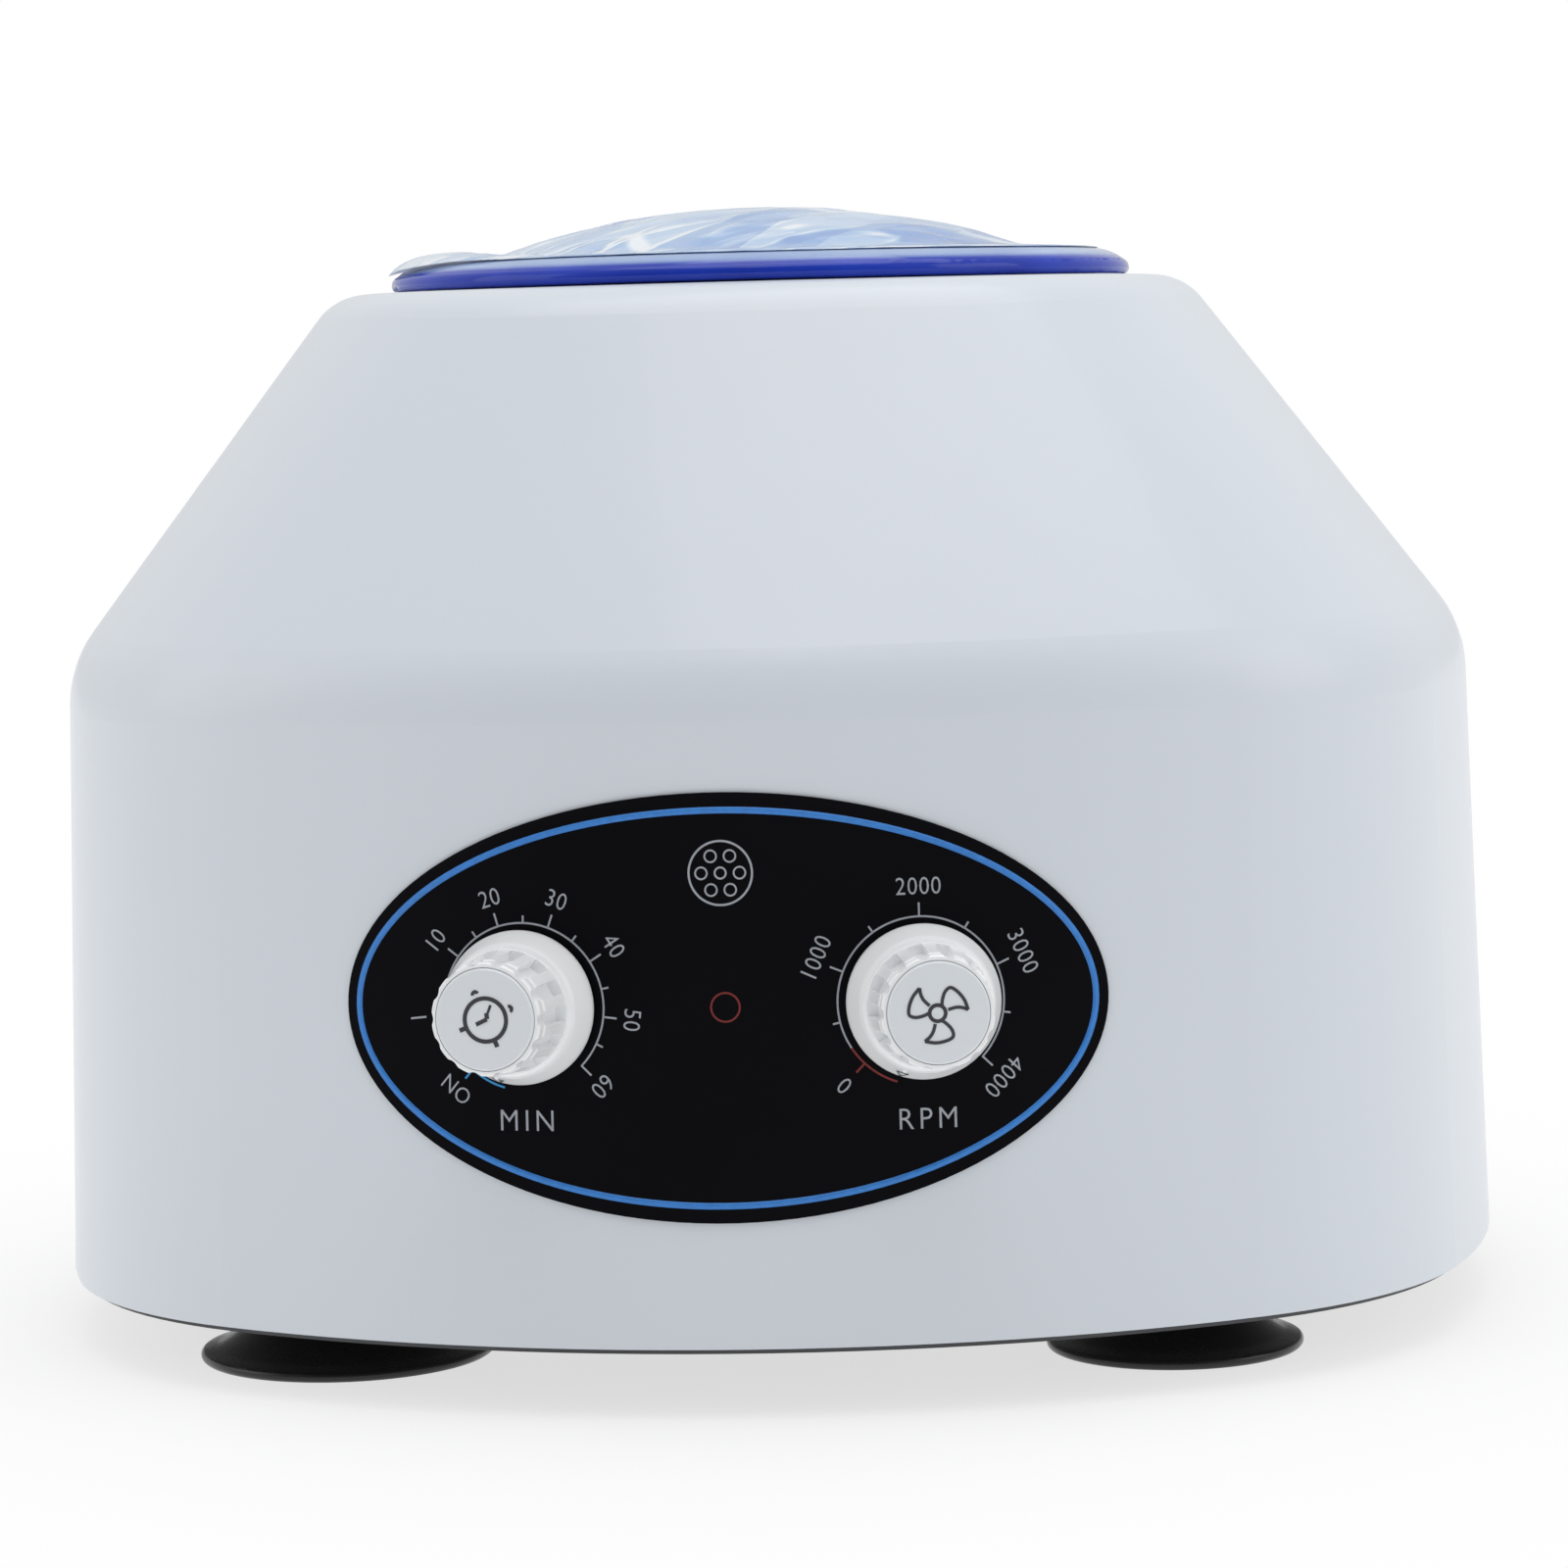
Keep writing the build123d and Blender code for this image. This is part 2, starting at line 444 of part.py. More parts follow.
for s in (0, 180):
    holders.append(Rot(0, 0, s) * ((box(10.5, 31.0, -4.4, 4.4, z0 + 5.0, z0 + 13.0) & cyl(M_R - 1.6, z0, z1)) - box(9.0, 26.0, -3.05, 3.05, z0 + 6.4, z0 + 11.6)))
    brushes.append(Rot(0, 0, s) * (box(8.6, 19.0, -3.0, 3.0, z0 + 6.45, z0 + 11.55) - cyl(9.06, z0, z0 + 20)))
keep("brush_holders", *holders)
keep("carbon_brushes", *brushes)

# cooling fan under the chamber floor
fan = ring(8.0, SHAFT_R, z1 + 7.0, z1 + 13.0) + ring(30.0, SHAFT_R, z1 + 7.0, z1 + 8.2)
for i in range(9):
    fan = fan + Rot(0, 0, 40 * i) * (Pos(18.5, 0, z1 + 10.3) * Rot(0, 0, 18) * Box(21.0, 1.2, 5.0))
keep("cooling_fan", fan)

# motor mount on rubber dampers
mount = box(-52, 52, -52, 52, 19.5, 22.0)
mount = fillet(mount.edges().filter_by(Axis.Z), 10.0)
mount = mount - cyl(11.7, 15, 25)
for x, y in DAMPER:
    mount = mount - cyl(2.05, 15, 25, x, y)
CAN_SCREW = [(24.0 * math.cos(math.radians(t)), 24.0 * math.sin(math.radians(t))) for t in (60, 120, 240, 300)]
for x, y in CAN_SCREW:
    mount = mount - cyl(1.6, 15, 25, x, y)
keep("motor_mount", mount)
damp = []
for x, y in DAMPER:
    d = rev([(2.1, PB1), (7.5, PB1), (8.0, PB1 + 1.2), (6.6, (PB1 + 19.5) / 2), (8.0, 18.3), (7.5, 19.5), (2.1, 19.5)])
    damp.append(Pos(x, y, 0) * d)
keep("rubber_dampers", *damp)
keep("damper_bolts", *[at(screw(4.0, 2.4, 1.95, 12.3, "pan", 1.2), (x, y, 22.0 + 2.4), (0, 0, 1)) for x, y in DAMPER])

# ---------------------------------------------------------------- controls
slope = DRAFT_IN / (Z_CREASE - Z_BOT)
YC = -B + RS
R_lo = lambda off: RS + off + slope * 10.0
R_hi = lambda off: RS + off - slope * (Z_CREASE - Z_BOT + 10.0)
hcone = Z_CREASE - Z_BOT + 20.0
zc = (Z_BOT - 10.0 + Z_CREASE + 10.0) / 2
cone_out = Pos(0, YC, zc) * Cone(R_lo(LABEL_T), R_hi(LABEL_T), hcone)
cone_in = Pos(0, YC, zc) * Cone(R_lo(0.02), R_hi(0.02), hcone)
ell = Pos(0, -100, LABEL_Z) * Rot(90, 0, 0) * extrude(Ellipse(LABEL_A, LABEL_B), amount=40, both=True)
label = (ell & cone_out) - cone_in
for side, r in ((-1, 5.1), (1, 3.6)):
    p, n, xd = KF[side]
    label = label - at(Cylinder(r, 24), p, n, xd)
keep("control_label", label)


def knob(r_cav, r_bore, pointer):
    """Skirted fluted knob. z = 0 is the panel face, +z outwards, +y is twelve o'clock."""
    b = 0.6
    k = rev([(r_cav, b), (12.1, b), (12.4, b + 0.4), (12.4, 1.9), (12.2, 2.6), (10.9, 6.0), (10.5, 6.7), (9.95, 7.0), (9.2, 15.8), (9.0, 16.2), (9.0, 17.9), (8.7, 18.35), (8.2, 18.45), (8.2, 17.2), (r_bore, 17.2), (r_bore, 5.4), (r_cav, 5.4)])
    for i in range(14):
        t = math.radians(360 / 14 * i)
        pocket = box(8.2, 12.0, -1.25, 1.25, 7.8, 15.6)
        k = k - Rot(0, 0, 360 / 14 * i) * pocket
        k = k - Pos(10.05 * math.cos(t), 10.05 * math.sin(t), 17.5) * Cylinder(1.5, 3.8)
    a = math.radians(pointer)
    ux, uy = math.sin(a), math.cos(a)
    tri = Face(Wire.make_polygon([(12.2, 0, 0), (8.9, 1.25, 0), (8.9, -1.25, 0)], close=True))
    tri = extrude(tri, amount=3.9, dir=(0, 0, 1))
    tri = Pos(0, 0, 1.2) * Rot(0, 0, math.degrees(math.atan2(uy, ux))) * tri
    tri = tri & rev([(r_cav + 0.3, 1.0), (12.3, 1.0), (12.3, 2.9), (10.75, 6.9), (r_cav + 0.3, 6.9)])
    return k + tri


def knob_cap():
    c = rev([(0, 17.25), (8.1, 17.25), (8.1, 18.4), (7.8, 18.75), (0, 18.95)])
    return c


for side, name, r_bush, r_nut, nut_h, r_cav, rest in ((-1, "timer", 5.0, 8.2, 2.2, 9.0, TIMER_REST), (1, "speed", 3.5, 6.2, 2.0, 7.6, SPEED_REST)):
    p, n, xd = KF[side]
    loc = lambda s: at(s, p, n, xd)
    keep(f"{name}_knob", loc(knob(r_cav, 3.03, rest)))
    keep(f"{name}_knob_cap", loc(knob_cap()))
    shaft_s = cyl(3.0, -15.0, 17.0)
    keep(f"{name}_shaft", loc(chamfer(shaft_s.edges(), 0.3)))
    nt = extrude(RegularPolygon(r_nut, 6), amount=nut_h) - cyl(r_bush + 0.02, -1, 6)
    nt = Pos(0, 0, 0.85) * nt
    keep(f"{name}_washer", loc(cyl(r_nut + 0.5, 0.0, 0.8) - cyl(r_bush + 0.02, -1, 6)))
    keep(f"{name}_nut", loc(nt))
    if side < 0:
        tb = box(-20, 20, -20, 20, -31.0, -5.4)
        tb = fillet(tb.edges().filter_by(Axis.Z), 3.0)
        tb = tb + cyl(r_bush, -6.0, 3.6) + box(-17, 17, -17, 17, -35.0, -31.0)
        for tx in (-12, -4, 4, 12):
            tb = tb + box(tx - 2.4, tx + 2.4, 17, 25, -30.0, -29.2)
        tb = tb - cyl(3.05, -15.5, 6.0)
        keep("timer_movement", loc(tb))
    else:
        pb = cyl(12.0, -19.0, -5.4) + cyl(r_bush, -6.0, 3.4) + box(-8, 8, -20, -8, -10.5, -7.0)
        for tx in (-5, 0, 5):
            pb = pb + box(tx - 1.2, tx + 1.2, -26, -19, -9.2, -8.4)
        pb = pb - cyl(3.05, -15.5, 6.0)
        keep("speed_potentiometer", loc(pb))

# ---------------------------------------------------------------- speed control board
pcb = box(-113.5, -60.5, -29.5, 29.5, 19.0, 20.6)
for x, y in BOARD:
    pcb = pcb - cyl(1.6, 18, 22, x, y)
keep("control_board", pcb)
keep("board_screws", *[at(screw(2.6, 1.6, 1.2, 6.0, "pan", 0.8), (x, y, 20.6 + 1.6), (0, 0, 1)) for x, y in BOARD])
hs = box(-104, -98, -20, 18, 20.6, 46)
for i in range(7):
    hs = hs + box(-98, -88, -19 + 6 * i, -17.4 + 6 * i, 22.6, 46)
keep("board_heat_sink", hs)
keep("board_components", box(-86.5, -82, -12, -2, 20.6, 38), cyl(6.5, 20.6, 40, -74, 16), box(-80, -67, -20, -8, 20.6, 33), box(-84, -78, 2, 8, 20.6, 26), cyl(3.0, 20.6, 30, -70, 2), box(-108.5, -105, -15, 15, 20.6, 30))

# ---------------------------------------------------------------- power module
F = REC_Y + 2.5                          # outer face of the flange
RP_Y, RP_Z, ROCK = F - 3.0, 73.0, 8.0    # rocker pivot and its rest tilt
mod = box(-25, 25, REC_Y, F, 27, 85)
mod = fillet(mod.edges().filter_by(Axis.Y), 3.0)
mod = fillet(mod.faces().sort_by(Axis.Y)[-1].edges(), 0.8)
mod = mod + box(-14.5, 14.5, 88, REC_Y + 0.1, 29, 83)
sock = box(-12.5, 12.5, 97, F + 1, 42.5, 59.5)
sock = chamfer(sock.edges().filter_by(Axis.Y).group_by(Axis.Z)[-1], 4.0)
mod = mod - sock
mod = mod - box(-10.5, 10.5, 101, F + 1, 66, 80) - box(-10.6, 10.6, 94, F + 1, 31.4, 39.6)
pins = []
for x, z in ((-7, 50.5), (7, 50.5), (0, 54.5)):
    b_ = box(x - 1, x + 1, 81, 110.5, z - 2, z + 2)
    pins.append(b_)
    mod = mod - b_
for sx, sz in INLET_SCREW:
    mod = mod - at(Cylinder(1.7, 12), (sx, REC_Y, sz), (0, 1, 0)) - at(Cone(1.7, 3.3, 1.6), (sx, F - 0.79, sz), (0, 1, 0))
mod = mod - at(Cylinder(1.55, 24.2), (0, RP_Y, RP_Z), (1, 0, 0))
keep("power_inlet", mod)
keep("inlet_pins", *[chamfer(b_.faces().sort_by(Axis.Y)[-1].edges(), 0.5) for b_ in pins])
keep("inlet_screws", *[at(screw(2.95, 1.4, 1.5, 9.0, "flat", 0.9), (sx, F - 0.04, sz), (0, 1, 0)) for sx, sz in INLET_SCREW])
drawer = box(-10.2, 10.2, 95, F, 31.8, 39.2) + box(-11.6, 11.6, F + 0.1, F + 1.7, 30.6, 40.4)
drawer = drawer + box(-9, 9, F - 1, F + 0.5, 32.5, 38.5)
drawer = fillet(drawer.faces().sort_by(Axis.Y)[-1].edges(), 0.5)
drawer = drawer - box(-8, 8, 97, 110, 35.0, 40.5)
keep("fuse_drawer", drawer)
keep("fuse", at(Cylinder(1.9, 15.0), (0, 103.0, 37.0), (1, 0, 0)))
# rocker: the lower end is pressed in at rest (off)
pr = [(-6.1, -4.6), (-6.1, 4.4), (-5.4, 4.7), (0, 3.4), (5.4, 4.7), (6.1, 4.4), (6.1, -4.6)]
rf = Face(Wire.make_polygon([(0, b, a) for a, b in pr], close=True))
rocker = Pos(-9.6, 0, 0) * extrude(rf, amount=19.2, dir=(1, 0, 0))
rocker = rocker + at(Cylinder(1.5, 23.6), (0, 0, 0), (1, 0, 0))
rocker = Pos(0, RP_Y, RP_Z) * Rot(ROCK, 0, 0) * rocker
keep("switch_rocker", rocker)

# ---------------------------------------------------------------- write
if __name__ == "__main__":
    os.makedirs("parts", exist_ok=True)
    for f in os.listdir("parts"):
        if f.endswith(".step"):
            os.remove(os.path.join("parts", f))
    for name, solids in PARTS.items():
        moved = [Pos(0, DY, 0) * s for s in solids]
        shape = moved[0] if len(moved) == 1 else Compound(children=moved)
        export_step(shape, f"parts/{name}.step")
    n1, n2 = KF[-1][1], KF[1][1]
    p1, p2 = KF[-1][0], KF[1][0]
    print("nodes", len(PARTS))
    print("timer axis", tuple(round(v, 6) for v in n1), "at", tuple(round(v, 4) for v in p1 + Vector(0, DY, 0)))
    print("speed axis", tuple(round(v, 6) for v in n2), "at", tuple(round(v, 4) for v in p2 + Vector(0, DY, 0)))
    for i, (m, d, ex) in enumerate(sockets):
        print("socket", i + 1, tuple(round(v, 4) for v in m + Vector(0, DY, 0)), "out", tuple(round(-v, 6) for v in d))
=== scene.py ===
import bpy
import bmesh
import json
import math
import random
from mathutils import Matrix, Vector, noise


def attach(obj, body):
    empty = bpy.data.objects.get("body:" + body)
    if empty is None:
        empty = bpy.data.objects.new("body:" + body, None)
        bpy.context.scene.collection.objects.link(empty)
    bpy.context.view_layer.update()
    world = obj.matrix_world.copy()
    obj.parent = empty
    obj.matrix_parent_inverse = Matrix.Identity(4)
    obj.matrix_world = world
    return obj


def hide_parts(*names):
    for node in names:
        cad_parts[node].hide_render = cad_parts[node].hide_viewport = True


# Bench-top tube centrifuge: finishes, printed dials, crinkled lid film, studio and camera.
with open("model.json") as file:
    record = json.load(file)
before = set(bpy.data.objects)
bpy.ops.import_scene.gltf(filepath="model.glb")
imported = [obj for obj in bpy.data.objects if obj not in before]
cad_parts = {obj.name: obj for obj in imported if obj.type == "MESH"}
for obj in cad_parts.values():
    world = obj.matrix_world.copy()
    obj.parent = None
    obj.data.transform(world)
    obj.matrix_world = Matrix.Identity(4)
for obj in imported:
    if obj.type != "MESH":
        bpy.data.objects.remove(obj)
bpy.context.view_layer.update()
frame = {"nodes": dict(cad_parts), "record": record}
N = frame["nodes"]
MM = 0.001
scene = bpy.context.scene
random.seed(7)

# ------------------------------------------------------------------ geometry shared with the solids (mm)
DY = 7.96
Z_BOT, Z_CREASE, Z0, DRAFT_IN = 11.5, 118.0, 181.7, 3.1
B, RS = 118.0, 176.0
LABEL_A, LABEL_B, LABEL_Z, LABEL_T = 61.5, 34.4, 66.3, 0.5
KNOB_X, KNOB_Z = 32.1, 66.7
SLOPE = DRAFT_IN / (Z_CREASE - Z_BOT)
YC = -B + RS


def wall(s, z, off=0.0):
    """Point on the front wall at arc position s from the middle and height z, in metres, with its outward normal."""
    r = RS - SLOPE * (z - Z_BOT) + off
    a = s / RS
    d = math.atan(SLOPE)
    n = Vector((math.sin(a) * math.cos(d), -math.cos(a) * math.cos(d), math.sin(d)))
    return Vector((r * math.sin(a), YC - r * math.cos(a) + DY, z)) * MM, n


# ------------------------------------------------------------------ materials
def new_mat(name):
    m = bpy.data.materials.new(name)
    m.use_nodes = True
    nt = m.node_tree
    return m, nt, nt.nodes["Principled BSDF"]


def coords(nt, scale=(1, 1, 1)):
    tc = nt.nodes.new("ShaderNodeTexCoord")
    mp = nt.nodes.new("ShaderNodeMapping")
    mp.inputs["Scale"].default_value = scale
    nt.links.new(tc.outputs["Object"], mp.inputs["Vector"])
    return mp.outputs["Vector"]


def noise_tex(nt, vec, scale, detail=4.0, rough=0.5, distortion=0.0):
    n = nt.nodes.new("ShaderNodeTexNoise")
    n.inputs["Scale"].default_value = scale
    n.inputs["Detail"].default_value = detail
    n.inputs["Roughness"].default_value = rough
    n.inputs["Distortion"].default_value = distortion
    nt.links.new(vec, n.inputs["Vector"])
    return n.outputs["Fac"]


def ramp(nt, fac, stops):
    r = nt.nodes.new("ShaderNodeValToRGB")
    e = r.color_ramp.elements
    while len(e) > 1:
        e.remove(e[-1])
    e[0].position, e[0].color = stops[0][0], stops[0][1]
    for p, c in stops[1:]:
        x = e.new(p)
        x.color = c
    nt.links.new(fac, r.inputs["Fac"])
    return r.outputs["Color"]


def c4(c, k=1.0):
    return (min(1, c[0] * k), min(1, c[1] * k), min(1, c[2] * k), 1.0)


def bump(nt, bsdf, height, strength, distance):
    b = nt.nodes.new("ShaderNodeBump")
    b.inputs["Strength"].default_value = strength
    b.inputs["Distance"].default_value = distance
    nt.links.new(height, b.inputs["Height"])
    nt.links.new(b.outputs["Normal"], bsdf.inputs["Normal"])
    return b


def grey(v):
    return (v, v, v, 1.0)


def plastic(name, colour, rough=0.35, grain=0.02, grain_scale=900.0, vary=0.03, coat=0.0, sss=0.0, rough_vary=0.06):
    """Moulded plastic: faint cloudiness in colour, fine texture in the skin and a little unevenness in gloss."""
    m, nt, b = new_mat(name)
    v = coords(nt)
    big = noise_tex(nt, v, 14.0, 3.0)
    nt.links.new(ramp(nt, big, [(0.3, c4(colour, 1 - vary)), (0.7, c4(colour, 1 + vary))]), b.inputs["Base Color"])
    mid = noise_tex(nt, v, 120.0, 5.0, 0.6)
    nt.links.new(ramp(nt, mid, [(0.3, grey(max(0.02, rough - rough_vary))), (0.7, grey(rough + rough_vary))]), b.inputs["Roughness"])
    fine = noise_tex(nt, v, grain_scale, 2.0)
    bump(nt, b, fine, grain, 0.0004)
    b.inputs["IOR"].default_value = 1.5
    b.inputs["Coat Weight"].default_value = coat
    b.inputs["Coat Roughness"].default_value = 0.08
    if sss:
        b.inputs["Subsurface Weight"].default_value = sss
        b.inputs["Subsurface Radius"].default_value = (0.004, 0.0035, 0.003)
        b.inputs["Subsurface Scale"].default_value = 0.5
    return m


def metal(name, colour, rough=0.3, stretch=(1, 1, 1), scale=200.0, strength=0.15, rough_vary=0.08, aniso=0.0):
    """Bare metal with directional machining or rolling marks."""
    m, nt, b = new_mat(name)
    v = coords(nt, stretch)
    mark = noise_tex(nt, v, scale, 5.0, 0.6)
    nt.links.new(ramp(nt, mark, [(0.25, c4(colour, 0.88)), (0.75, c4(colour, 1.08))]), b.inputs["Base Color"])
    nt.links.new(ramp(nt, mark, [(0.3, grey(max(0.03, rough - rough_vary))), (0.7, grey(rough + rough_vary))]), b.inputs["Roughness"])
    bump(nt, b, mark, strength, 0.0002)
    b.inputs["Metallic"].default_value = 1.0
    b.inputs["Anisotropic"].default_value = aniso
    return m


def turned(name, colour, rough=0.28, centre=(0.0, DY * MM), pitch=2600.0, strength=0.12):
    """Spun or lathe-turned metal: fine rings about a vertical axis."""
    m, nt, b = new_mat(name)
    tc = nt.nodes.new("ShaderNodeTexCoord")
    sep = nt.nodes.new("ShaderNodeSeparateXYZ")
    nt.links.new(tc.outputs["Object"], sep.inputs[0])

    def math_node(op, a, bb=None):
        q = nt.nodes.new("ShaderNodeMath")
        q.operation = op
        for i, w in enumerate((a, bb)):
            if w is None:
                continue
            if isinstance(w, (int, float)):
                q.inputs[i].default_value = w
            else:
                nt.links.new(w, q.inputs[i])
        return q.outputs[0]

    dx = math_node("SUBTRACT", sep.outputs[0], centre[0])
    dy = math_node("SUBTRACT", sep.outputs[1], centre[1])
    rr = math_node("SQRT", math_node("ADD", math_node("MULTIPLY", dx, dx), math_node("MULTIPLY", dy, dy)))
    comb = nt.nodes.new("ShaderNodeCombineXYZ")
    nt.links.new(rr, comb.inputs[0])
    nt.links.new(sep.outputs[2], comb.inputs[1])
    ring = noise_tex(nt, comb.outputs[0], pitch, 3.0, 0.7)
    nt.links.new(ramp(nt, ring, [(0.3, c4(colour, 0.9)), (0.7, c4(colour, 1.06))]), b.inputs["Base Color"])
    cloud = noise_tex(nt, tc.outputs["Object"], 40.0, 4.0)
    nt.links.new(ramp(nt, cloud, [(0.3, grey(rough - 0.06)), (0.7, grey(rough + 0.08))]), b.inputs["Roughness"])
    bump(nt, b, ring, strength, 0.0002)
    b.inputs["Metallic"].default_value = 1.0
    return m


def rubber(name, colour, rough=0.42):
    m, nt, b = new_mat(name)
    v = coords(nt)
    dust = noise_tex(nt, v, 90.0, 8.0, 0.65)
    nt.links.new(ramp(nt, dust, [(0.35, c4(colour, 0.8)), (0.62, c4(colour, 1.2)), (0.85, c4(colour, 1.9))]), b.inputs["Base Color"])
    nt.links.new(ramp(nt, dust, [(0.3, grey(rough - 0.1)), (0.75, grey(rough + 0.16))]), b.inputs["Roughness"])
    fine = noise_tex(nt, v, 1400.0, 3.0)
    bump(nt, b, fine, 0.08, 0.0003)
    b.inputs["IOR"].default_value = 1.52
    b.inputs["Sheen Weight"].default_value = 0.1
    return m


def clear(name, colour, rough=0.06, transmission=1.0, ior=1.49, vary=0.05, alpha=1.0):
    m, nt, b = new_mat(name)
    v = coords(nt)
    q = noise_tex(nt, v, 25.0, 3.0)
    nt.links.new(ramp(nt, q, [(0.3, c4(colour, 1 - vary)), (0.7, c4(colour, 1 + vary))]), b.inputs["Base Color"])
    b.inputs["Roughness"].default_value = rough
    b.inputs["Transmission Weight"].default_value = transmission
    b.inputs["IOR"].default_value = ior
    b.inputs["Alpha"].default_value = alpha
    return m


def flat_print(name, colour, rough=0.5):
    m, nt, b = new_mat(name)
    v = coords(nt)
    ink = noise_tex(nt, v, 900.0, 4.0)
    nt.links.new(ramp(nt, ink, [(0.3, c4(colour, 0.9)), (0.7, c4(colour, 1.08))]), b.inputs["Base Color"])
    nt.links.new(ramp(nt, ink, [(0.3, grey(rough - 0.05)), (0.7, grey(rough + 0.08))]), b.inputs["Roughness"])
    return m


# the casing: off-white, slightly blue, satin gloss with a very fine moulded skin
M = {}
M["shell_plastic"] = plastic("casing_plastic", (0.715, 0.765, 0.825), rough=0.34, grain=0.006, grain_scale=420.0, vary=0.008, coat=0.2, rough_vary=0.02)
M["base_plastic"] = plastic("base_plastic", (0.055, 0.056, 0.06), rough=0.5, grain=0.12, grain_scale=1100.0, vary=0.1)
M["foot_rubber"] = rubber("foot_rubber", (0.006, 0.006, 0.0065), 0.24)
M["screw_steel"] = metal("screw_steel", (0.62, 0.62, 0.60), 0.26, (1, 1, 1), 700.0, 0.1)
M["liner_aluminium"] = turned("liner_aluminium", (0.78, 0.79, 0.80), 0.27)
M["seal_rubber"] = rubber("seal_rubber", (0.02, 0.02, 0.022), 0.5)
M["rotor_plastic"] = plastic("rotor_plastic", (0.62, 0.65, 0.68), rough=0.33, grain=0.06, vary=0.03)
M["sleeve_plastic"] = plastic("sleeve_plastic", (0.80, 0.82, 0.83), rough=0.24, grain=0.03, vary=0.02, sss=0.25)
M["shaft_steel"] = metal("shaft_steel", (0.66, 0.67, 0.69), 0.18, (1, 1, 8), 260.0, 0.08)
M["motor_steel"] = metal("motor_steel", (0.46, 0.47, 0.49), 0.36, (1, 1, 0.1), 300.0, 0.1)
M["cap_aluminium"] = metal("cap_aluminium", (0.66, 0.67, 0.68), 0.42, (1, 1, 1), 420.0, 0.3)
M["bush_bronze"] = metal("bush_bronze", (0.70, 0.45, 0.22), 0.4, (1, 1, 1), 900.0, 0.4)
M["lamination_steel"] = metal("lamination_steel", (0.36, 0.36, 0.38), 0.4, (0.02, 0.02, 1), 2600.0, 0.8)
M["copper_wire"] = metal("copper_wire", (0.72, 0.28, 0.10), 0.3, (0.15, 0.15, 1), 1900.0, 0.9)
M["commutator_copper"] = metal("commutator_copper", (0.80, 0.44, 0.26), 0.25, (1, 1, 0.05), 500.0, 0.1)
M["brush_brass"] = metal("brush_brass", (0.80, 0.62, 0.28), 0.3, (1, 1, 1), 400.0, 0.15)
M["carbon"] = plastic("carbon", (0.03, 0.03, 0.032), rough=0.6, grain=0.25, grain_scale=1800.0, vary=0.15)
M["fan_plastic"] = plastic("fan_plastic", (0.05, 0.05, 0.056), rough=0.45, grain=0.1, vary=0.1)
M["damper_rubber"] = rubber("damper_rubber", (0.02, 0.02, 0.02), 0.6)
M["label_black"] = plastic("label_black", (0.0022, 0.0020, 0.0034), rough=0.46, grain=0.02, grain_scale=900.0, vary=0.2, rough_vary=0.05)
M["label_black"].node_tree.nodes["Principled BSDF"].inputs["Specular IOR Level"].default_value = 0.06
M["knob_white"] = plastic("knob_white", (0.95, 0.965, 0.98), rough=0.24, grain=0.006, grain_scale=420.0, vary=0.008, sss=0.1, rough_vary=0.03)
M["cap_grey"] = plastic("cap_grey", (0.78, 0.82, 0.86), rough=0.30, grain=0.006, grain_scale=420.0, vary=0.008, sss=0.05, rough_vary=0.03)
M["movement_steel"] = metal("movement_steel", (0.58, 0.59, 0.60), 0.32, (1, 0.1, 1), 380.0, 0.1)
M["board_green"] = plastic("board_green", (0.02, 0.17, 0.06), rough=0.3, grain=0.1, grain_scale=600.0, vary=0.12, coat=0.3)
M["component_black"] = plastic("component_black", (0.03, 0.03, 0.035), rough=0.4, grain=0.15, vary=0.1)
M["heat_sink"] = metal("heat_sink", (0.12, 0.12, 0.13), 0.45, (1, 1, 0.1), 500.0, 0.15)
M["inlet_black"] = plastic("inlet_black", (0.012, 0.012, 0.013), rough=0.38, grain=0.16, grain_scale=1500.0, vary=0.12)
M["pin_brass"] = metal("pin_brass", (0.80, 0.77, 0.66), 0.22, (1, 0.1, 1), 600.0, 0.06)
M["rocker_black"] = plastic("rocker_black", (0.010, 0.010, 0.011), rough=0.2, grain=0.03, vary=0.1)
M["fuse_glass"] = clear("fuse_glass", (0.9, 0.93, 0.93), 0.03)


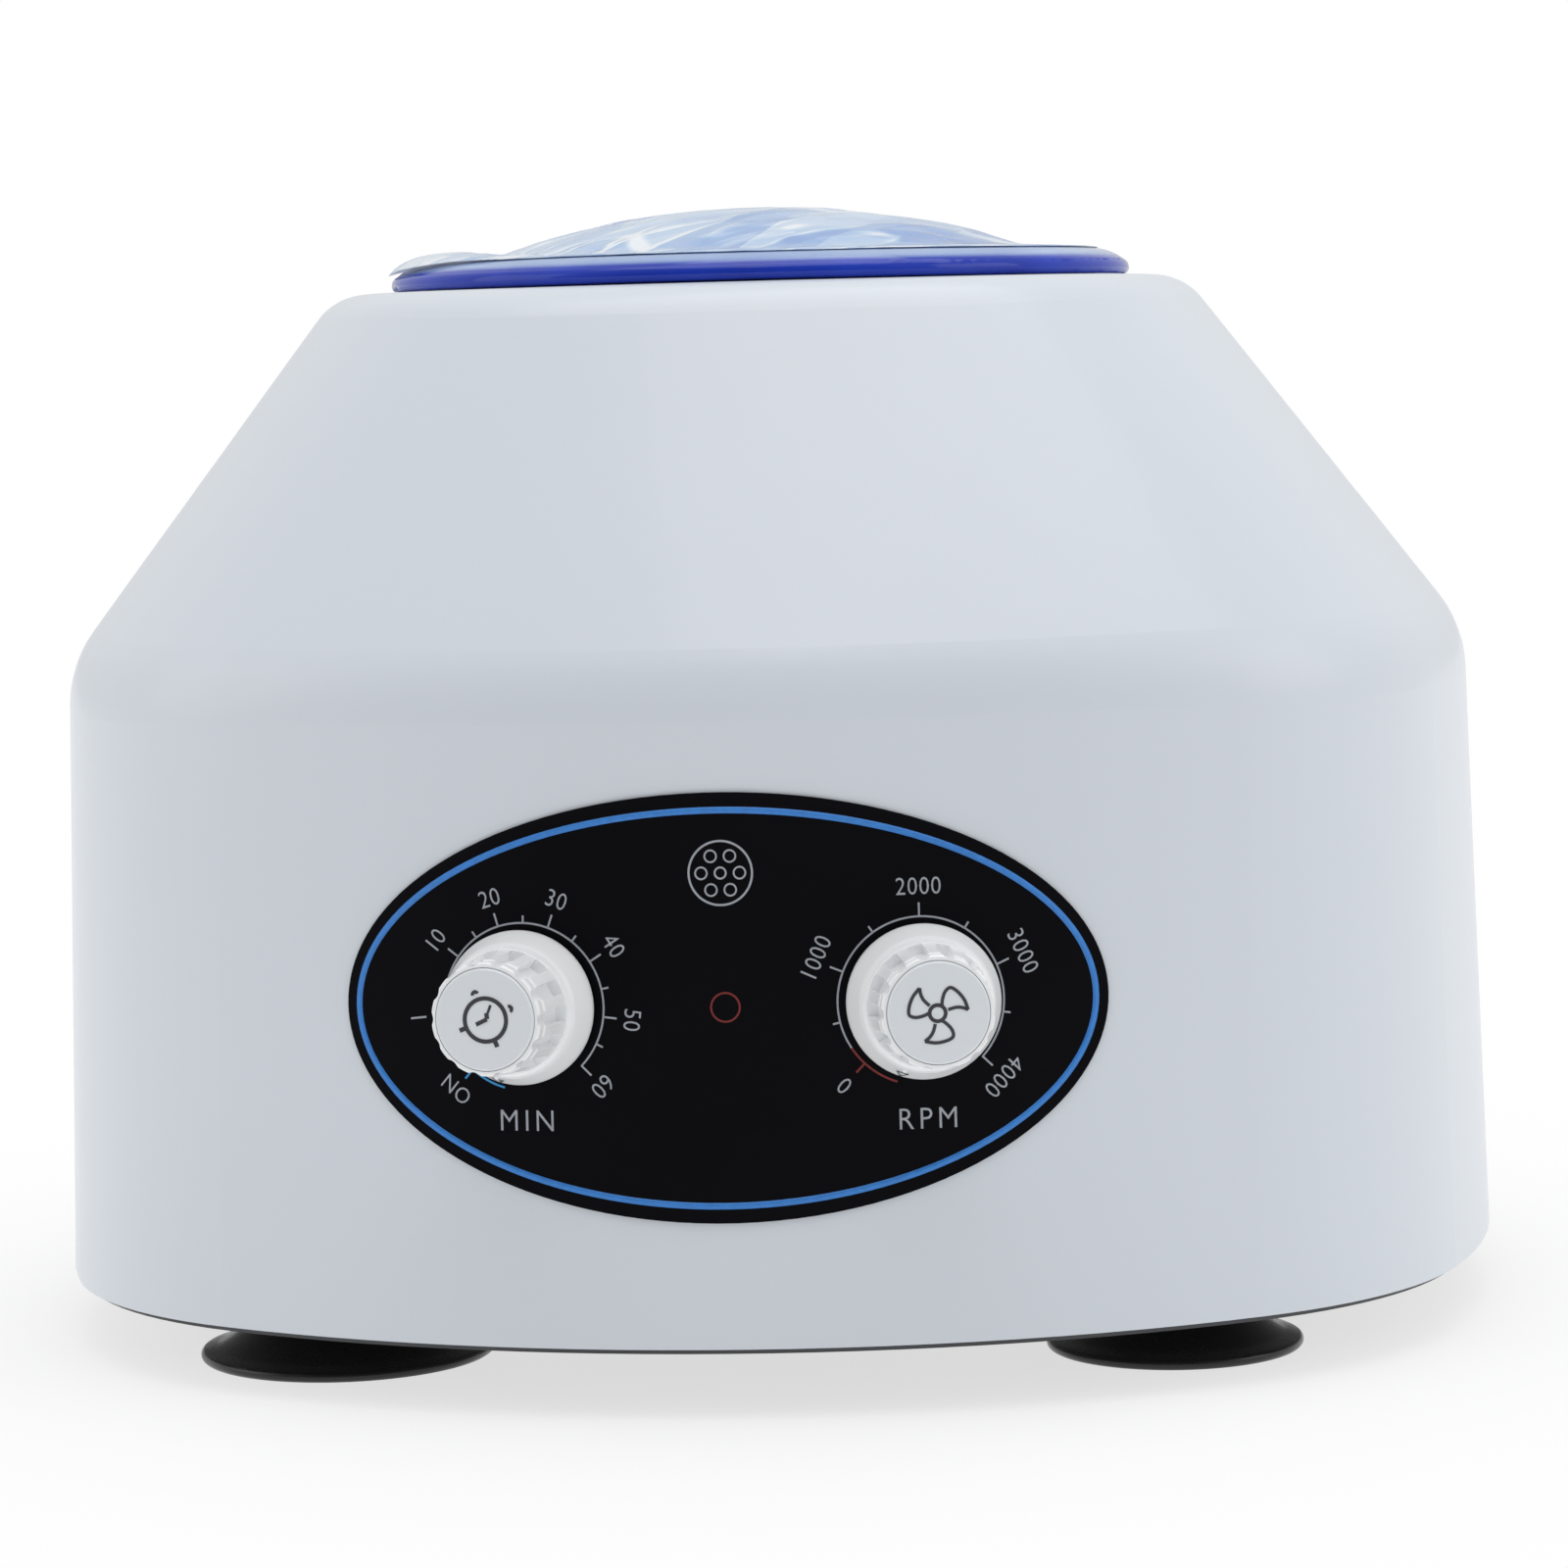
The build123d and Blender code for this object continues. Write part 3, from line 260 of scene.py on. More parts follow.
def lid_material():
    """Clear blue moulded plastic: see-through and pale over its thin top, deep blue where the thick rim is seen edge-on."""
    m, nt, b = new_mat("lid_clear_blue")
    tc = nt.nodes.new("ShaderNodeTexCoord")
    sep = nt.nodes.new("ShaderNodeSeparateXYZ")
    nt.links.new(tc.outputs["Object"], sep.inputs[0])
    mr = nt.nodes.new("ShaderNodeMapRange")
    mr.interpolation_type = "SMOOTHSTEP"
    mr.inputs["From Min"].default_value = (Z0 + 3.1) * MM
    mr.inputs["From Max"].default_value = (Z0 + 4.1) * MM
    nt.links.new(sep.outputs[2], mr.inputs["Value"])
    h = mr.outputs["Result"]
    q = noise_tex(nt, tc.outputs["Object"], 60.0, 4.0)
    mix = nt.nodes.new("ShaderNodeMix")
    mix.data_type = "RGBA"
    nt.links.new(h, mix.inputs["Factor"])
    nt.links.new(ramp(nt, q, [(0.3, (0.008, 0.034, 0.42, 1)), (0.7, (0.012, 0.050, 0.52, 1))]), mix.inputs[6])
    nt.links.new(ramp(nt, q, [(0.3, (0.42, 0.57, 0.92, 1)), (0.7, (0.52, 0.67, 0.97, 1))]), mix.inputs[7])
    nt.links.new(mix.outputs[2], b.inputs["Base Color"])
    al = nt.nodes.new("ShaderNodeMapRange")
    al.inputs["To Min"].default_value = 0.97
    al.inputs["To Max"].default_value = 0.78
    nt.links.new(h, al.inputs["Value"])
    nt.links.new(al.outputs["Result"], b.inputs["Alpha"])
    b.inputs["Roughness"].default_value = 0.07
    b.inputs["IOR"].default_value = 1.49
    b.inputs["Specular IOR Level"].default_value = 0.35
    b.inputs["Coat Weight"].default_value = 0.1
    b.inputs["Coat Roughness"].default_value = 0.05
    return m


M["lid_clear_blue"] = lid_material()


def film_material():
    """Thin polythene film: flat facets of pale blue and white, with painted highlights along the crisp creases between
    them.
    """
    m, nt, b = new_mat("lid_film")
    tc = nt.nodes.new("ShaderNodeTexCoord")

    def turned_coords(angle, stretch):
        w = nt.nodes.new("ShaderNodeTexNoise")
        w.inputs["Scale"].default_value = 26.0
        w.inputs["Detail"].default_value = 2.0
        nt.links.new(tc.outputs["Object"], w.inputs["Vector"])
        wm = nt.nodes.new("ShaderNodeVectorMath")
        wm.operation = "MULTIPLY_ADD"
        wm.inputs[1].default_value = (0.012, 0.012, 0.0)
        nt.links.new(w.outputs["Color"], wm.inputs[0])
        nt.links.new(tc.outputs["Object"], wm.inputs[2])
        q = nt.nodes.new("ShaderNodeMapping")
        q.vector_type = "TEXTURE"
        q.inputs["Rotation"].default_value = (0, 0, math.radians(angle))
        q.inputs["Scale"].default_value = (stretch, 1.0, 6.0)
        nt.links.new(wm.outputs[0], q.inputs["Vector"])
        return q.outputs["Vector"]

    def cells(angle, stretch, scale, feature):
        v = nt.nodes.new("ShaderNodeTexVoronoi")
        v.feature = feature
        v.inputs["Scale"].default_value = scale
        nt.links.new(turned_coords(angle, stretch), v.inputs["Vector"])
        return v

    def mth(op, a, c):
        q = nt.nodes.new("ShaderNodeMath")
        q.operation = op
        for i, w in enumerate((a, c)):
            if isinstance(w, (int, float)):
                q.inputs[i].default_value = w
            else:
                nt.links.new(w, q.inputs[i])
        return q.outputs[0]

    def tone(v):
        sp = nt.nodes.new("ShaderNodeSeparateColor")
        nt.links.new(v.outputs["Color"], sp.inputs[0])
        return sp.outputs[0]

    t1 = tone(cells(57, 3.6, 120.0, "F1"))
    t2 = tone(cells(24, 4.2, 170.0, "F1"))
    soft = noise_tex(nt, tc.outputs["Object"], 22.0, 3.0)
    facet = mth("ADD", mth("MULTIPLY", t1, 0.27), mth("ADD", mth("MULTIPLY", t2, 0.15), mth("MULTIPLY", soft, 0.66)))
    e1 = cells(57, 3.6, 120.0, "DISTANCE_TO_EDGE").outputs["Distance"]
    e2 = cells(38, 6.0, 95.0, "DISTANCE_TO_EDGE").outputs["Distance"]
    line = nt.nodes.new("ShaderNodeMapRange")
    line.interpolation_type = "SMOOTHSTEP"
    line.inputs["From Min"].default_value = 0.10
    line.inputs["From Max"].default_value = 0.0
    nt.links.new(mth("MINIMUM", e1, e2), line.inputs["Value"])
    some = nt.nodes.new("ShaderNodeMapRange")
    some.interpolation_type = "SMOOTHSTEP"
    some.inputs["From Min"].default_value = 0.46
    some.inputs["From Max"].default_value = 0.62
    nt.links.new(noise_tex(nt, tc.outputs["Object"], 48.0, 2.0), some.inputs["Value"])
    # painted highlight: the crease lines, in patches, lift the film's colour towards white and make it more opaque
    crease_glint = mth("MULTIPLY", line.outputs["Result"], some.outputs["Result"])
    f = mth("MINIMUM", mth("ADD", facet, mth("MULTIPLY", crease_glint, 0.36)), 1.0)
    nt.links.new(ramp(nt, f, [(0.28, (0.32, 0.51, 0.94, 1)), (0.45, (0.46, 0.67, 0.99, 1)), (0.60, (0.64, 0.80, 1.0, 1)), (0.80, (0.90, 0.95, 1.0, 1))]), b.inputs["Base Color"])
    nt.links.new(ramp(nt, f, [(0.3, grey(0.12)), (0.8, grey(0.26))]), b.inputs["Roughness"])
    nt.links.new(ramp(nt, f, [(0.28, grey(0.66)), (0.5, grey(0.80)), (0.8, grey(0.97))]), b.inputs["Alpha"])
    bump(nt, b, f, 0.25, 0.0008)
    b.inputs["IOR"].default_value = 1.5
    b.inputs["Coat Weight"].default_value = 0.3
    b.inputs["Coat Roughness"].default_value = 0.06
    return m


M["lid_film"] = film_material()
PRINT_WHITE = flat_print("print_light_grey", (0.37, 0.395, 0.44))
PRINT_BLUE = flat_print("print_blue", (0.032, 0.22, 0.66), 0.4)
PRINT_BLUE2 = flat_print("print_dial_blue", (0.02, 0.28, 0.62), 0.4)
PRINT_RED = flat_print("print_red", (0.19, 0.009, 0.008), 0.45)
PRINT_DARK = flat_print("print_dark", (0.035, 0.036, 0.045), 0.5)
PRINT_SWITCH = flat_print("print_switch_white", (0.8, 0.8, 0.8), 0.5)

slots = {s["node"]: s["material_slot"] for s in frame["record"]["subparts"]}
for name, ob in N.items():
    mat = M[slots[name]]
    ob.data.materials.clear()
    ob.data.materials.append(mat)


# ------------------------------------------------------------------ helpers for new pieces
def add_mesh(name, verts, faces, mat, body, smooth=True):
    me = bpy.data.meshes.new(name)
    me.from_pydata([tuple(v) for v in verts], [], faces)
    me.validate()
    bm = bmesh.new()
    bm.from_mesh(me)
    bmesh.ops.remove_doubles(bm, verts=bm.verts, dist=1e-8)
    bmesh.ops.recalc_face_normals(bm, faces=bm.faces)
    bm.to_mesh(me)
    bm.free()
    for p in me.polygons:
        p.use_smooth = smooth
    ob = bpy.data.objects.new(name, me)
    scene.collection.objects.link(ob)
    me.materials.append(mat)
    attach(ob, body)
    return ob


def strip_on(surface, path, width, lift0, lift1, closed=False):
    """Printed line of real thickness: path of (s, z) in mm, width mm, laid on the surface from lift0 to lift1 mm."""
    n = len(path)
    left, right = [], []
    for i in range(n):
        if closed:
            p0, p1 = path[(i - 1) % n], path[(i + 1) % n]
        else:
            p0, p1 = path[max(0, i - 1)], path[min(n - 1, i + 1)]
        tx, tz = p1[0] - p0[0], p1[1] - p0[1]
        l = math.hypot(tx, tz) or 1.0
        nx, nz = -tz / l, tx / l
        left.append((path[i][0] + nx * width / 2, path[i][1] + nz * width / 2))
        right.append((path[i][0] - nx * width / 2, path[i][1] - nz * width / 2))
    verts, faces = [], []
    for i in range(n):
        verts += [surface(*left[i], lift0), surface(*right[i], lift0), surface(*left[i], lift1), surface(*right[i], lift1)]
    m = n if closed else n - 1
    for i in range(m):
        a, b = 4 * i, 4 * ((i + 1) % n)
        faces += [(a + 2, a + 3, b + 3, b + 2), (a, b, b + 1, a + 1), (a, a + 2, b + 2, b), (a + 1, b + 1, b + 3, a + 3)]
    if not closed:
        faces += [(0, 1, 3, 2), (4 * (n - 1), 4 * (n - 1) + 2, 4 * (n - 1) + 3, 4 * (n - 1) + 1)]
    return verts, faces


def join_parts(parts):
    verts, faces = [], []
    for v, f in parts:
        o = len(verts)
        verts += v
        faces += [tuple(i + o for i in q) for q in f]
    return verts, faces


def wall_point(s, z, lift):
    return wall(s, z, LABEL_T + lift)[0]


LIFT0, LIFT1 = -0.01, 0.05


def text_mesh(body, size, thick, font_scale_x=1.0, spacing=1.06):
    """Flat numerals as (vertices, faces) in mm about their own middle, with thickness along +w."""
    cu = bpy.data.curves.new("t", "FONT")
    cu.body = body
    cu.size = size
    cu.resolution_u = 3
    cu.space_character = spacing
    cu.offset = -0.07
    cu.extrude = thick / 2
    cu.align_x = "CENTER"
    ob = bpy.data.objects.new("t", cu)
    scene.collection.objects.link(ob)
    bpy.context.view_layer.update()
    me = bpy.data.meshes.new_from_object(ob)
    vs = [v.co.copy() for v in me.vertices]
    fs = [tuple(p.vertices) for p in me.polygons]
    bpy.data.objects.remove(ob)
    bpy.data.curves.remove(cu)
    bpy.data.meshes.remove(me)
    ys = [v.y for v in vs]
    xs = [v.x for v in vs]
    cx, cy = (min(xs) + max(xs)) / 2, (min(ys) + max(ys)) / 2
    h = max(ys) - min(ys)
    out = [((v.x - cx) * font_scale_x, v.y - cy, v.z) for v in vs]
    return out, fs, h


def text_on(surface, body, centre, height, angle=0.0, squeeze=0.9, spacing=1.06):
    """Numerals of that cap height on a surface; angle is clockwise, in degrees."""
    vs, fs, h = text_mesh(body, 10.0, 1.0, squeeze, spacing)
    k = height / h
    a = math.radians(angle)
    out = []
    for x, y, w in vs:
        x, y = x * k, y * k
        s = centre[0] + x * math.cos(a) + y * math.sin(a)
        z = centre[1] - x * math.sin(a) + y * math.cos(a)
        out.append(surface(s, z, LIFT1 if w > 0 else LIFT0))
    return out, fs


def clock(centre, r, deg):
    a = math.radians(deg)
    return (centre[0] + r * math.sin(a), centre[1] + r * math.cos(a))


def arc(centre, r, a0, a1, step=3.0):
    n = max(2, int(abs(a1 - a0) / step) + 1)
    return [clock(centre, r, a0 + (a1 - a0) * i / (n - 1)) for i in range(n)]


# ------------------------------------------------------------------ control label print
S_K = RS * math.asin(KNOB_X / RS)
C_T, C_S = (-S_K, KNOB_Z), (S_K, KNOB_Z)


def oval(a, b, n=160):
    out = []
    for i in range(n):
        t = 2 * math.pi * i / n
        x, z = a * math.cos(t), LABEL_Z + b * math.sin(t)
        r = RS - SLOPE * (z - Z_BOT) + LABEL_T
        out.append((RS * math.asin(x / r), z))
    return out


v, f = strip_on(wall_point, oval(59.5, 31.6), 1.05, LIFT0, LIFT1, closed=True)
add_mesh("label_border_line", v, f, PRINT_BLUE, "housing")

R_ARC = 13.45
white, blue, red = [], [], []
white.append(strip_on(wall_point, arc(C_T, R_ARC, 232.0, 494.4), 0.30, LIFT0, LIFT1))
blue.append(strip_on(wall_point, arc(C_T, R_ARC, 194.4, 232.0), 0.34, LIFT0, LIFT1))


def tick(c, ang, length, w, store):
    store.append(strip_on(wall_point, [clock(c, R_ARC - 0.1, ang), clock(c, R_ARC + length, ang)], w, LIFT0, LIFT1))


for ang, big in ((263.5, 1), (306.0, 1), (325.0, 0), (343.0, 1), (361.3, 0), (379.4, 1), (398.7, 0), (417.3, 1), (437.6, 0), (456.7, 1), (476.0, 0), (494.4, 1)):
    tick(C_T, ang, 2.2 if big else 1.2, 0.30, white)
tick(C_T, 220.7, 2.0, 0.34, blue)
for label, ang in (("1", 263.5), ("10", 306.0), ("20", 343.0), ("30", 379.4), ("40", 417.3), ("50", 456.7), ("60", 494.4)):
    white.append(text_on(wall_point, label, clock(C_T, 18.2, ang), 2.75, ang % 360))
white.append(text_on(wall_point, "ON", clock(C_T, 17.9, 220.7), 2.6, 220.7))

white.append(strip_on(wall_point, arc(C_S, R_ARC, 237.9, 494.0), 0.30, LIFT0, LIFT1))
red.append(strip_on(wall_point, arc(C_S, R_ARC, 198.2, 237.9), 0.34, LIFT0, LIFT1))
tick(C_S, 224.0, 2.0, 0.34, red)
for ang, big in ((257.0, 0), (292.0, 1), (326.0, 0), (360.0, 1), (393.0, 0), (427.0, 1), (460.0, 0), (494.0, 1)):
    tick(C_S, ang, 2.2 if big else 1.2, 0.30, white)
for label, ang in (("0", 224.0), ("1000", 294.5), ("2000", 360.0), ("3000", 427.0), ("4000", 494.0)):
    white.append(text_on(wall_point, label, clock(C_S, 18.3, ang), 2.75, ang % 360))
# unit marks under the dials
white.append(text_on(wall_point, "MIN", (-S_K + 0.3, KNOB_Z - 18.3), 3.3, 0.0, 0.92, 1.3))
white.append(text_on(wall_point, "RPM", (S_K + 0.6, KNOB_Z - 18.8), 3.3, 0.0, 0.92, 1.3))

# plain pictogram of a six-place rotor between the dials, at the top
PC = (0.6, LABEL_Z + 21.6)
white.append(strip_on(wall_point, arc(PC, 5.1, 0, 360, 5.0)[:-1], 0.34, LIFT0, LIFT1, closed=True))
white.append(strip_on(wall_point, arc(PC, 0.9, 0, 360, 20.0)[:-1], 0.30, LIFT0, LIFT1, closed=True))
for i in range(6):
    q = clock(PC, 3.1, 60 * i + 30)
    white.append(strip_on(wall_point, arc(q, 0.95, 0, 360, 20.0)[:-1], 0.28, LIFT0, LIFT1, closed=True))
# small pilot ring in the middle
red.append(strip_on(wall_point, arc((0.9, KNOB_Z - 0.2), 2.3, 0, 360, 10.0)[:-1], 0.32, LIFT0, LIFT1, closed=True))
v, f = join_parts(white)
add_mesh("dial_marks_light", v, f, PRINT_WHITE, "housing", smooth=False)
v, f = join_parts(blue)
add_mesh("dial_marks_blue", v, f, PRINT_BLUE2, "housing", smooth=False)
v, f = join_parts(red)
add_mesh("dial_marks_red", v, f, PRINT_RED, "housing", smooth=False)


# ------------------------------------------------------------------ knob icons
def knob_surface(side):
    p, n = wall(side * S_K, KNOB_Z, LABEL_T)
    xd = Vector((-n.y, n.x, 0)).normalized()
    up = n.cross(xd).normalized()

    def f(x, y, lift):
        r = math.hypot(x, y)
        top = 18.95 - 0.15 * min(1.0, r / 8.2)
        return p + (xd * x + up * y + n * (top + lift)) * MM
    return f


def ring_path(c, r, n=40):
    return [(c[0] + r * math.cos(2 * math.pi * i / n), c[1] + r * math.sin(2 * math.pi * i / n)) for i in range(n)]


def icon(name, side, parts, body):
    v, f = join_parts(parts)
    return add_mesh(name, v, f, PRINT_DARK, body, smooth=False)


def bead(c, r, a0, a1, w):
    """Half-round mark: an arc of that radius about c."""
    return strip_on(ks, [(c[0] + r * math.sin(math.radians(a0 + (a1 - a0) * i / 8)), c[1] + r * math.cos(math.radians(a0 + (a1 - a0) * i / 8))) for i in range(9)], w, LIFT0, LIFT1)


ks = knob_surface(-1)
TURN = 22.0
parts = [strip_on(ks, ring_path((0, 0), 3.4), 0.66, LIFT0, LIFT1, closed=True)]
parts.append(strip_on(ks, [(0, 0), clock((0, 0), 1.3, TURN - 1), clock((0, 0), 2.5, TURN - 1)], 0.42, LIFT0, LIFT1))
parts.append(strip_on(ks, [clock((0, 0), 0.35, TURN + 40), clock((0, 0), 1.1, TURN - 12)], 0.7, LIFT0, LIFT1))
parts.append(strip_on(ks, [clock((0, 0), 0.3, 64), clock((0, 0), 1.7, TURN - 138)], 0.66, LIFT0, LIFT1))
for a in (TURN - 44, TURN + 44):
    q = clock((0, 0), 4.3, a)
    parts.append(bead(q, 0.42, a - 90, a + 90, 0.55))
for a in (TURN + 134, TURN - 134):
    parts.append(strip_on(ks, [clock((0, 0), 3.6, a), clock((0, 0), 4.6, a)], 0.72, LIFT0, LIFT1))
icon("timer_icon", -1, parts, "timer_control")

ks = knob_surface(1)
parts = [strip_on(ks, ring_path((0, 0), 1.26, 30), 0.60, LIFT0, LIFT1, closed=True)]
BLADE = [(0.72, 1.25), (0.80, 2.05), (1.15, 3.10), (1.75, 3.78), (2.35, 3.85), (3.30, 3.15), (4.25, 1.90), (4.80, 0.35), (3.85, 0.72), (2.85, 0.78), (1.66, 0.47)]


def smooth_path(pts, n=4):
    out = []
    for i in range(len(pts) - 1):
        p0, p1, p2, p3 = pts[max(0, i - 1)], pts[i], pts[i + 1], pts[min(len(pts) - 1, i + 2)]
        for k in range(n):
            t = k / n
            out.append(tuple(0.5 * ((2 * p1[j]) + (p2[j] - p0[j]) * t + (2 * p0[j] - 5 * p1[j] + 4 * p2[j] - p3[j]) * t * t + (3 * p1[j] - p0[j] - 3 * p2[j] + p3[j]) * t ** 3) for j in (0, 1)))
    out.append(pts[-1])
    return out


for i in range(3):
    a0 = math.radians(120 * i)
    for half in (smooth_path(BLADE[:8]), smooth_path(BLADE[7:])):
        parts.append(strip_on(ks, [(x * math.cos(a0) - y * math.sin(a0), x * math.sin(a0) + y * math.cos(a0)) for x, y in half], 0.52, LIFT0, LIFT1))
icon("speed_icon", 1, parts, "speed_control")


# small outlined pointer on each knob's skirt
def flank(side, rest):
    p, n = wall(side * S_K, KNOB_Z, LABEL_T)
    xd = Vector((-n.y, n.x, 0)).normalized()
    up = n.cross(xd).normalized()

    def f(u, h, lift):
        r = 12.3 - (h - 2.9) * 0.3875 + lift
        a = math.radians(rest) + u / r
        return p + (xd * (r * math.sin(a)) + up * (r * math.cos(a)) + n * h) * MM
    return f


for side, rest, body, label in ((-1, 194.5, "timer_control", "timer_pointer_mark"), (1, 200.0, "speed_control", "speed_pointer_mark")):
    fl = flank(side, rest)
    v, f = join_parts([strip_on(fl, [(0.0, 3.15), (0.95, 4.85), (-0.95, 4.85)], 0.3, -0.02, 0.06, closed=True)])
    add_mesh(label, v, f, PRINT_DARK, body, smooth=False)


# ------------------------------------------------------------------ switch: ring and bar moulded in white on the rocker
RP_Y, RP_Z, ROCK = 110.0, 73.0, math.radians(8.0)


def rocker_face(x, h, lift):
    y = 3.4 + abs(h) * 1.3 / 5.4 + 0.972 * lift
    z = h - math.copysign(0.234, h) * lift
    return Vector((x, RP_Y + DY + y * math.cos(ROCK) - z * math.sin(ROCK), RP_Z + y * math.sin(ROCK) + z * math.cos(ROCK))) * MM


marks = [strip_on(rocker_face, [(0.0, 1.7), (0.0, 4.3)], 0.5, -0.01, 0.06)]
marks.append(strip_on(rocker_face, [(1.35 * math.cos(2 * math.pi * i / 28), -2.9 + 1.35 * math.sin(2 * math.pi * i / 28)) for i in range(28)], 0.45, -0.01, 0.06, closed=True))
v, f = join_parts(marks)
add_mesh("rocker_marks", v, f, PRINT_SWITCH, "power_switch", smooth=False)

# ------------------------------------------------------------------ crinkled film over the lid
def dome_z(r, d=0.0):
    Rd = 143.0
    return Z0 + 13.45 - Rd + math.sqrt((Rd - d) ** 2 - r * r)



def film_height(r):
    """Height of the lid's top at that radius, with the valley bridged by the film."""
    if r <= 43.0:
        return dome_z(r)
    pts = [(43.0, dome_z(43.0)), (46.4, dome_z(46.4) + 0.12), (49.2, Z0 + 5.35), (52.2, Z0 + 5.2), (55.8, Z0 + 5.3), (60.4, Z0 + 5.05), (63.5, Z0 + 4.32), (65.4, Z0 + 3.12)]
    for (r0, z0), (r1, z1) in zip(pts, pts[1:]):
        if r <= r1:
            return z0 + (z1 - z0) * (r - r0) / (r1 - r0)
    return pts[-1][1]


def crease(x, y):
    """Long soft folds with sharp ridges, pulled in a few directions, in mm."""
    h = 0.0
    for ang, sx, sy, amp in ((57, 0.010, 0.060, 0.42), (30, 0.012, 0.075, 0.30), (-40, 0.014, 0.060, 0.18)):
        a = math.radians(ang)
        u, w = x * math.cos(a) + y * math.sin(a), -x * math.sin(a) + y * math.cos(a)
        n = noise.noise(Vector((u * sx * 1.6 + 3.1, w * sy * 1.6 - 7.7, ang * 0.37)))
        h += amp * (1.0 - min(1.0, abs(n) * 2.6))
    return h


def puff(a):
    """How far the film stands over the rim: one loose bulge on the left."""
    d = abs((math.degrees(a) - 188.0 + 180.0) % 360.0 - 180.0)
    t = max(0.0, 1.0 - d / 50.0)
    return t * t * (3 - 2 * t)


def lid_film():
    NR, NA = 110, 360
    R1 = 61.4
    verts, faces = [], []
    top, bot = [], []
    for side in (0, 1):
        idx = [len(verts)]
        z = film_height(0) + 0.16 + crease(0, 0) * 0.5 + (0.09 if side == 0 else 0.0)
        verts.append((0, DY * MM, z * MM))
        for i in range(1, NR + 1):
            r = R1 * i / NR
            row = []
            for k in range(NA):
                a = 2 * math.pi * k / NA
                rr = r
                if i == NR:
                    rr = r - 0.4 + 0.35 * noise.noise(Vector((2 * math.cos(a), 2 * math.sin(a), 1.7)))
                g = puff(a)
                if rr > 52.0:
                    rr = 52.0 + (rr - 52.0) * (1.0 + g * 0.68)
                x, y = rr * math.cos(a), rr * math.sin(a)
                c = crease(x, y)
                inner = 0.35 + 0.65 * min(1.0, rr / 26.0)
                fade = inner * (1.0 if rr < 44 else max(0.15, 1 - (rr - 44) / 12.0))
                z = film_height(rr) + 0.16 + c * 0.8 * fade + (0.09 if side == 0 else 0.0)
                if rr > 50.0 and g > 0.0:
                    t = min(1.0, (rr - 50.0) / 17.9)
                    over = Z0 + 0.5 + 6.7 * math.sqrt(max(0.0, 1.0 - t ** 3.4)) + c * 0.35 * (1 - t) + (0.09 if side == 0 else 0.0)
                    k_in = min(1.0, (rr - 50.0) / 4.0)
                    z = z * (1 - g * k_in) + max(over, z if rr < 60 else over) * g * k_in
                row.append(len(verts))
                verts.append((x * MM, (y + DY) * MM, z * MM))
            idx.append(row)
        (top if side == 0 else bot).extend(idx)
    for store, flip in ((top, False), (bot, True)):
        for k in range(NA):
            k2 = (k + 1) % NA
            q = (store[0], store[1][k], store[1][k2])
            faces.append(q[::-1] if flip else q)
            for i in range(1, NR):
                q = (store[i][k], store[i + 1][k], store[i + 1][k2], store[i][k2])
                faces.append(q[::-1] if flip else q)
    for k in range(NA):
        k2 = (k + 1) % NA
        faces.append((top[NR][k], bot[NR][k], bot[NR][k2], top[NR][k2]))
    ob = add_mesh("crinkled_lid_film", verts, faces, M["lid_film"], "lid")
    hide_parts("lid_film")
    return ob


lid_film()

# ------------------------------------------------------------------ stage, lights, camera
floor_mat, nt, b = new_mat("studio_white")
b.inputs["Base Color"].default_value = (0.93, 0.93, 0.93, 1)
b.inputs["Roughness"].default_value = 0.9
b.inputs["Specular IOR Level"].default_value = 0.05
# the sweep glows softly away from the object, so no horizon shows
tc = nt.nodes.new("ShaderNodeTexCoord")
ln = nt.nodes.new("ShaderNodeVectorMath")
ln.operation = "LENGTH"
nt.links.new(tc.outputs["Object"], ln.inputs[0])
far = nt.nodes.new("ShaderNodeMapRange")
far.interpolation_type = "SMOOTHSTEP"
far.inputs["From Min"].default_value = 0.08
far.inputs["From Max"].default_value = 0.28
nt.links.new(ln.outputs["Value"], far.inputs["Value"])
em = nt.nodes.new("ShaderNodeEmission")
em.inputs["Strength"].default_value = 1.0
mx = nt.nodes.new("ShaderNodeMixShader")
near = nt.nodes.new("ShaderNodeMapRange")
near.inputs["To Min"].default_value = 0.68
near.inputs["To Max"].default_value = 1.0
nt.links.new(far.outputs["Result"], near.inputs["Value"])
nt.links.new(near.outputs["Result"], mx.inputs[0])
nt.links.new(b.outputs[0], mx.inputs[1])
nt.links.new(em.outputs[0], mx.inputs[2])
nt.links.new(mx.outputs[0], nt.nodes["Material Output"].inputs["Surface"])
me = bpy.data.meshes.new("floor")
W2 = 6.0
me.from_pydata([(-W2, -W2, 0), (W2, -W2, 0), (W2, W2, 0), (-W2, W2, 0)], [], [(0, 1, 2, 3)])
floor = bpy.data.objects.new("floor", me)
me.materials.append(floor_mat)
scene.collection.objects.link(floor)

world = bpy.data.worlds.new("studio")
scene.world = world
world.use_nodes = True
bg = world.node_tree.nodes["Background"]
bg.inputs["Color"].default_value = (1, 1, 1, 1)
wn = world.node_tree
lp = wn.nodes.new("ShaderNodeLightPath")
